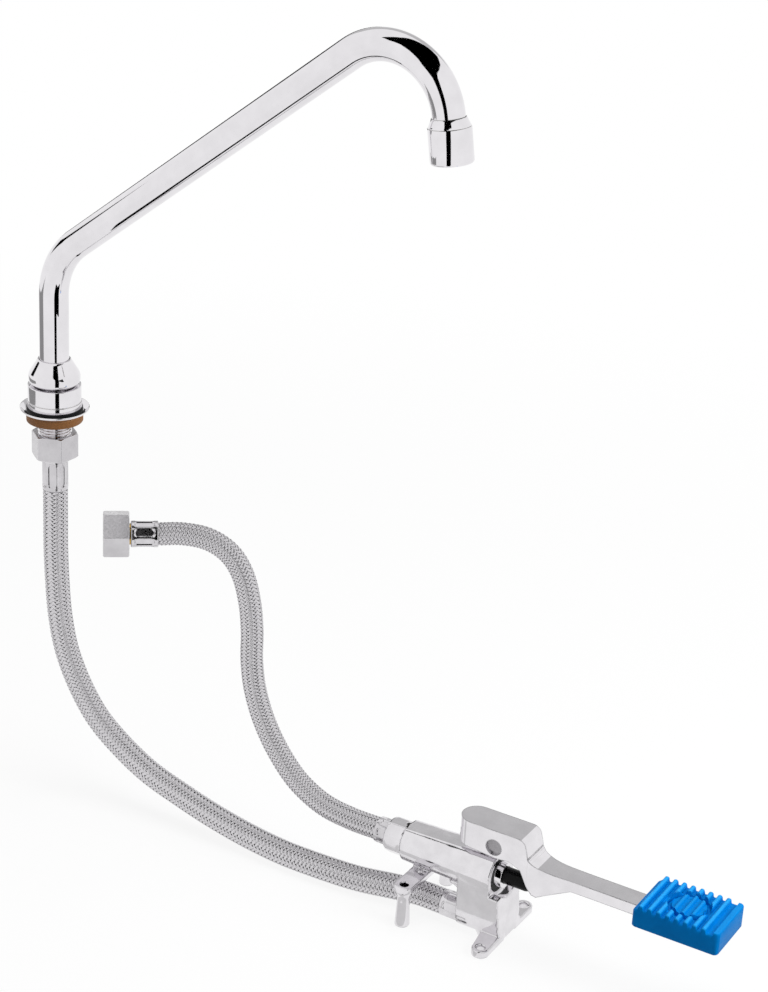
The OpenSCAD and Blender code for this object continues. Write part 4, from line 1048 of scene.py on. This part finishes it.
@dataclass
class RibbedPad:
    """The blue pad: ribs across it, cut by a ring round a lower ribbed disc."""

    x: float = 418.75
    z: float = -200.1
    length: float = 52.5
    width: float = 37.0
    thickness: float = 12.0
    corner_r: float = 2.5
    rib_h: float = 2.8
    rib_r: float = 1.5
    rib_count: int = 8
    first_rib: float = 4.8
    rib_pitch: float = 5.45
    end_rib_w: float = 4.0
    end_rib_drop: float = 0.7
    end_slope: float = 1.4
    ring_r: float = 12.4
    disc_r: float = 10.2
    disc_rise: float = 0.9
    groove: float = 1.6
    disc_rib_drop: float = 0.6
    edge_r: float = 0.9
    soft: float = 0.22
    spacing: float = 0.35
    skirt_drop: float = 2.2
    foot_h: float = 0.5
    foot_draw: float = 0.985
    hollows: tuple[tuple[Point, Point], ...] = (
        ((422.95, -13.05, -199.15), (467.05, 13.05, -193.95)), ((417, -6.8, -202), (424, 6.8, -193.96)))

    def crest(self, x: float) -> float:
        """Gives the ribs' height at a place along the pad.

        Args:
            x: The way from the pad's end at the lever.

        Returns:
            The height over the pad's flat top.
        """
        nearest = min(max(round((x - self.first_rib) / self.rib_pitch), 0), self.rib_count - 1)
        off = abs(x - self.first_rib - nearest * self.rib_pitch)
        if off < self.rib_r + self.soft:
            crown = self.rib_h - self.rib_r + sqrt(max(0.0, self.rib_r ** 2 - off ** 2))
            return crown * self.blend(self.rib_r + self.soft - off, 2 * self.soft)
        return (self.rib_h - self.end_rib_drop) * self.blend(x - self.length + self.end_rib_w, 2 * self.soft)

    @staticmethod
    def blend(into: float, width: float) -> float:
        """Rises smoothly from 0 to 1 over a width."""
        return smoothstep(min(1.0, max(0.0, into / width)))

    def height(self, x: float, y: float) -> float:
        """Gives the top's height at a place.

        Args:
            x: The way from the pad's end at the lever.
            y: The way from its middle line.

        Returns:
            The height over the pad's flat top.
        """
        ramp = max(0.0, 1 - x / (self.first_rib - self.rib_r))
        rib = self.crest(x)
        away = hypot(x - self.first_rib - self.rib_pitch * self.rib_count / 2, y)
        outside = self.blend(away - self.ring_r, self.soft)
        inside = self.blend(self.disc_r - away, self.soft)
        disc = max(self.disc_rise, rib - self.disc_rib_drop)
        top = outside * rib + inside * disc - (1 - outside) * (1 - inside) * self.groove
        border = min(x, self.length - x, self.width / 2 - abs(y))
        into = max(0.0, 1 - border / self.edge_r)
        return top - self.end_slope * ramp - self.edge_r * (1 - sqrt(1 - min(1.0, into) ** 2))

    def outline(self, x: float, y: float) -> tuple[float, float]:
        """Moves a place of the square sheet to the one with rounded corners.

        Args:
            x: The way from the pad's end at the lever.
            y: The way from its middle line.

        Returns:
            The new x and y.
        """
        mid, reach = self.length / 2, self.length / 2 - self.corner_r
        out = max(0.0, abs(x - mid) - reach)
        aside = max(0.0, abs(y) - self.width / 2 + self.corner_r)
        if not (out and aside):
            return x, y
        pull = max(out, aside) / hypot(out, aside)
        return (mid + copysign(reach + out * pull, x - mid),
                copysign(self.width / 2 - self.corner_r + aside * pull, y))

    def build(self) -> None:
        """Moulds the pad over the lever's plate."""
        mesh = bmesh.new()
        columns, rows = round(self.length / self.spacing), round(self.width / self.spacing)
        corner = Vector((self.x, 0, self.z))
        sheet = []
        for x in (self.length * i / columns for i in range(columns + 1)):
            spots = ((x, self.width * (j / rows - 0.5)) for j in range(rows + 1))
            tops = (Vector((*self.outline(x, y), self.thickness + self.height(x, y))) for x, y in spots)
            sheet.append([mesh.verts.new((corner + top) * MM) for top in tops])
        for near, far in zip(sheet, sheet[1:]):
            for j in range(rows):
                mesh.faces.new((near[j], far[j], far[j + 1], near[j + 1]))
        border = (sheet[0][:-1] + [line[-1] for line in sheet[:-1]] + sheet[-1][:0:-1]
                  + [line[0] for line in sheet[:0:-1]])
        middle = Vector((self.x + self.length / 2, 0, 0)) * MM
        levels = ((self.thickness - self.skirt_drop, 1.0), (self.foot_h, 1.0), (0.0, self.foot_draw))
        for level, draw in levels:
            lower = []
            for vert in border:
                spot = middle + (Vector((*vert.co.xy, 0)) - middle) * draw
                lower.append(mesh.verts.new((spot.x, spot.y, (self.z + level) * MM)))
            for k, vert in enumerate(border):
                mesh.faces.new((vert, border[k - 1], lower[k - 1], lower[k]))
            border = lower
        mesh.faces.new(border)
        make_piece("ribbed_pedal_pad", carve(mesh, self.hollows), (Surface.PAD,), "lever",
                   ("pedal_pad",), smooth_deg=40)


@dataclass
class Pedal:
    """The lever with its pin, and the ribbed blue pad that the foot presses."""

    pad: RibbedPad = field(default_factory=RibbedPad)
    pieces: dict[str, Dress] = field(default_factory=lambda: {
        "pedal_lever": Dress(Surface.LEVER_CHROME, 0.8, 3), "pivot_pin": Dress(Surface.PIN, 0.25)})

    def build(self) -> None:
        """Moulds the pad and dresses the rest."""
        self.pad.build()
        dress(self.pieces)


# Studio

@dataclass(frozen=True)
class Card:
    """A flat card that shows only in gloss, as a photographer's flag does.

    A tone of 0 is black.
    """

    name: str
    corners: tuple[Point, ...]
    tone: float = 0.0


@dataclass(frozen=True)
class Softbox:
    """A square soft lamp: its place, its target, its width and its power in watts."""

    name: str
    place: Point
    target: Point
    size: float
    power: float


@dataclass
class Studio:
    """A pale floor, soft lamps, and cards that draw the dark lines in chrome."""

    floor_size: float = 24000.0
    floor_seen: float = 0.95
    floor_bounce: float = 0.36
    near_glow: float = 0.87
    fade_start: float = 350.0
    fade_end: float = 1100.0
    world_fill: float = 0.3
    softboxes: tuple[Softbox, ...] = (
        Softbox("top_softbox", (350, 250, 1700), (300, 0, -200), 1200, 17),
        Softbox("right_softbox", (1700, 200, 700), (400, 0, -200), 900, 17),
        Softbox("front_softbox", (-300, -1600, 1200), (200, 0, -100), 1400, 5))
    cards: tuple[Card, ...] = (
        # A tall gap that widens upward, and a panel over the bend: the stripe on
        # the column and the cup, the block on the cap nut, the patch on the bend.
        Card("front_gap_flag", ((278, -328, -250), (372, -237, -250), (372, -237, 330), (386, -223, 400),
                                (428, -182, 480), (428, -182, 500), (218, -387, 500), (222, -382, 375),
                                (260, -345, 338), (278, -328, 330))),
        Card("overhead_flag", ((140, -85, 380), (175, -50, 380), (204, -15, 380), (225, 31, 380),
                               (243, 70, 380), (268, 118, 380), (293, 135, 380), (337, 47, 380),
                               (353, -33, 380), (355, -100, 380), (358, -173, 380), (372, -237, 380),
                               (278, -328, 380), (240, -290, 380), (213, -172, 380), (190, -126, 380),
                               (156, -125, 380))),
        Card("left_flag", ((-995, 2, 53), (-995, 82, 237), (-934, -253, 381), (-934, -333, 197))),
        Card("arm_flag", ((45, -15, 50), (230, -50, 50), (230, -82, 50), (45, -39, 50))),
        Card("valve_shade", ((200, -62, -249.5), (330, -62, -249.5), (330, -32.5, -249.5),
                             (200, -32.5, -249.5)), 0.72),
        Card("back_wall_flag", ((-1800, 1150, 0), (-500, 1150, 0), (-500, 1150, 420),
                                (-1800, 1150, 700)), 0.02),
        Card("grey_ceiling_card", ((-1800, 1350, 600), (400, 1350, 600), (400, 1100, 1600),
                                   (-1800, 1100, 1600)), 0.6),
        Card("grey_floor_card", ((-1100, 450, -249), (-660, 200, -249), (-600, -120, -249),
                                 (-500, -420, -249), (-950, -750, -249)), 0.3))

    def build(self) -> None:
        """Adds the world, the floor, the lamps and the cards."""
        bpy.context.scene.view_settings.view_transform = "Standard"
        self._world()
        self._floor()
        for softbox in self.softboxes:
            self._hang_lamp(softbox)
        for card in self.cards:
            self._hang_card(card)

    @staticmethod
    def _seen(tree: NodeTree) -> NodeSocket:
        """Tells the rays that look at the background, straight, in gloss or through.

        Args:
            tree: The node tree.

        Returns:
            The socket that is 1 for such a ray.
        """
        path = add_node(tree, "LightPath").node.outputs
        both = add_node(tree, "Math", {0: path["Is Camera Ray"], 1: path["Is Glossy Ray"]},
                        operation="MAXIMUM")
        return add_node(tree, "Math", {0: both, 1: path["Is Transmission Ray"]}, operation="MAXIMUM")

    def _world(self) -> None:
        """Lights the scene evenly and shows white behind it."""
        world = bpy.data.worlds.new("studio")
        bpy.context.scene.world = world
        tree = empty_tree(world)
        strength = add_node(tree, "MapRange", {
            "Value": self._seen(tree), "To Min": self.world_fill, "To Max": 1.0})
        light = add_node(tree, "Background", {"Color": WHITE, "Strength": strength})
        add_node(tree, "OutputWorld", {"Surface": light})

    def _floor(self) -> None:
        """Lays the floor under the foot valve: white to the eye, with the object's shadow."""
        half = self.floor_size / 2
        ways = ((-1, -1), (1, -1), (1, 1), (-1, 1))
        floor = self._sheet("floor", [(x * half, y * half, FLOOR_Z) for x, y in ways])
        material = bpy.data.materials.new("studio_floor")
        tree = empty_tree(material)
        seen = self._seen(tree)
        tone = add_node(tree, "MapRange", {
            "Value": seen, "To Min": self.floor_bounce, "To Max": self.floor_seen})
        lit = add_node(tree, "BsdfDiffuse", {"Color": tone})
        glow = add_node(tree, "Emission", {"Color": WHITE, "Strength": 1.0})
        spot = add_node(tree, "NewGeometry")
        away = add_node(tree, "VectorMath", {0: spot}, operation="LENGTH").node.outputs["Value"]
        fade = add_node(tree, "MapRange", {
            "Value": away, "From Min": self.fade_start * MM, "From Max": self.fade_end * MM,
            "To Min": self.near_glow, "To Max": 1.0}, interpolation_type="SMOOTHSTEP")
        share = add_node(tree, "Math", {0: seen, 1: fade}, operation="MULTIPLY")
        mixed = add_node(tree, "MixShader", {"Fac": share, 1: lit, 2: glow})
        add_node(tree, "OutputMaterial", {"Surface": mixed})
        floor.data.materials.append(material)

    @staticmethod
    def _sheet(name: str, corners: Sequence[Point]) -> Object:
        """Adds a flat sheet that belongs to the studio.

        Args:
            name: The sheet's name.
            corners: Its corners in order.

        Returns:
            The object.
        """
        mesh = bmesh.new()
        mesh.faces.new([mesh.verts.new(Vector(corner) * MM) for corner in corners])
        sheet = place_mesh(name, mesh)
        return sheet

    @staticmethod
    def _hang_lamp(softbox: Softbox) -> None:
        """Hangs one square lamp that faces its target.

        Args:
            softbox: The lamp.
        """
        place, target = Vector(softbox.place), Vector(softbox.target)
        data = bpy.data.lights.new(softbox.name, "AREA")
        data.shape, data.size, data.energy = "SQUARE", softbox.size * MM, softbox.power
        lamp = place_object(softbox.name, data)
        lamp.location = place * MM
        lamp.rotation_euler = (target - place).to_track_quat("-Z", "Y").to_euler()
        lamp.visible_glossy = False

    def _hang_card(self, card: Card) -> None:
        """Hangs one card, which shows only in gloss.

        Args:
            card: The card.
        """
        sheet = self._sheet(card.name, card.corners)
        material = bpy.data.materials.new(card.name)
        tree = empty_tree(material)
        glow = add_node(tree, "Emission", {"Color": WHITE, "Strength": card.tone})
        add_node(tree, "OutputMaterial", {"Surface": glow})
        sheet.data.materials.append(material)
        sheet.visible_camera = sheet.visible_diffuse = False
        sheet.visible_shadow = sheet.visible_transmission = False


def main() -> None:
    """Builds the camera, the hoses, the pieces and the studio in order."""
    logging.basicConfig(level=logging.INFO, format="%(name)s: %(message)s")
    PhotoCamera().build()
    for part in (OUTLET_HOSE, SUPPLY_HOSE, Spout(), DeckMount(), FootValve(), Pedal(), Studio()):
        part.build()


if __name__ == "__main__":
    main()
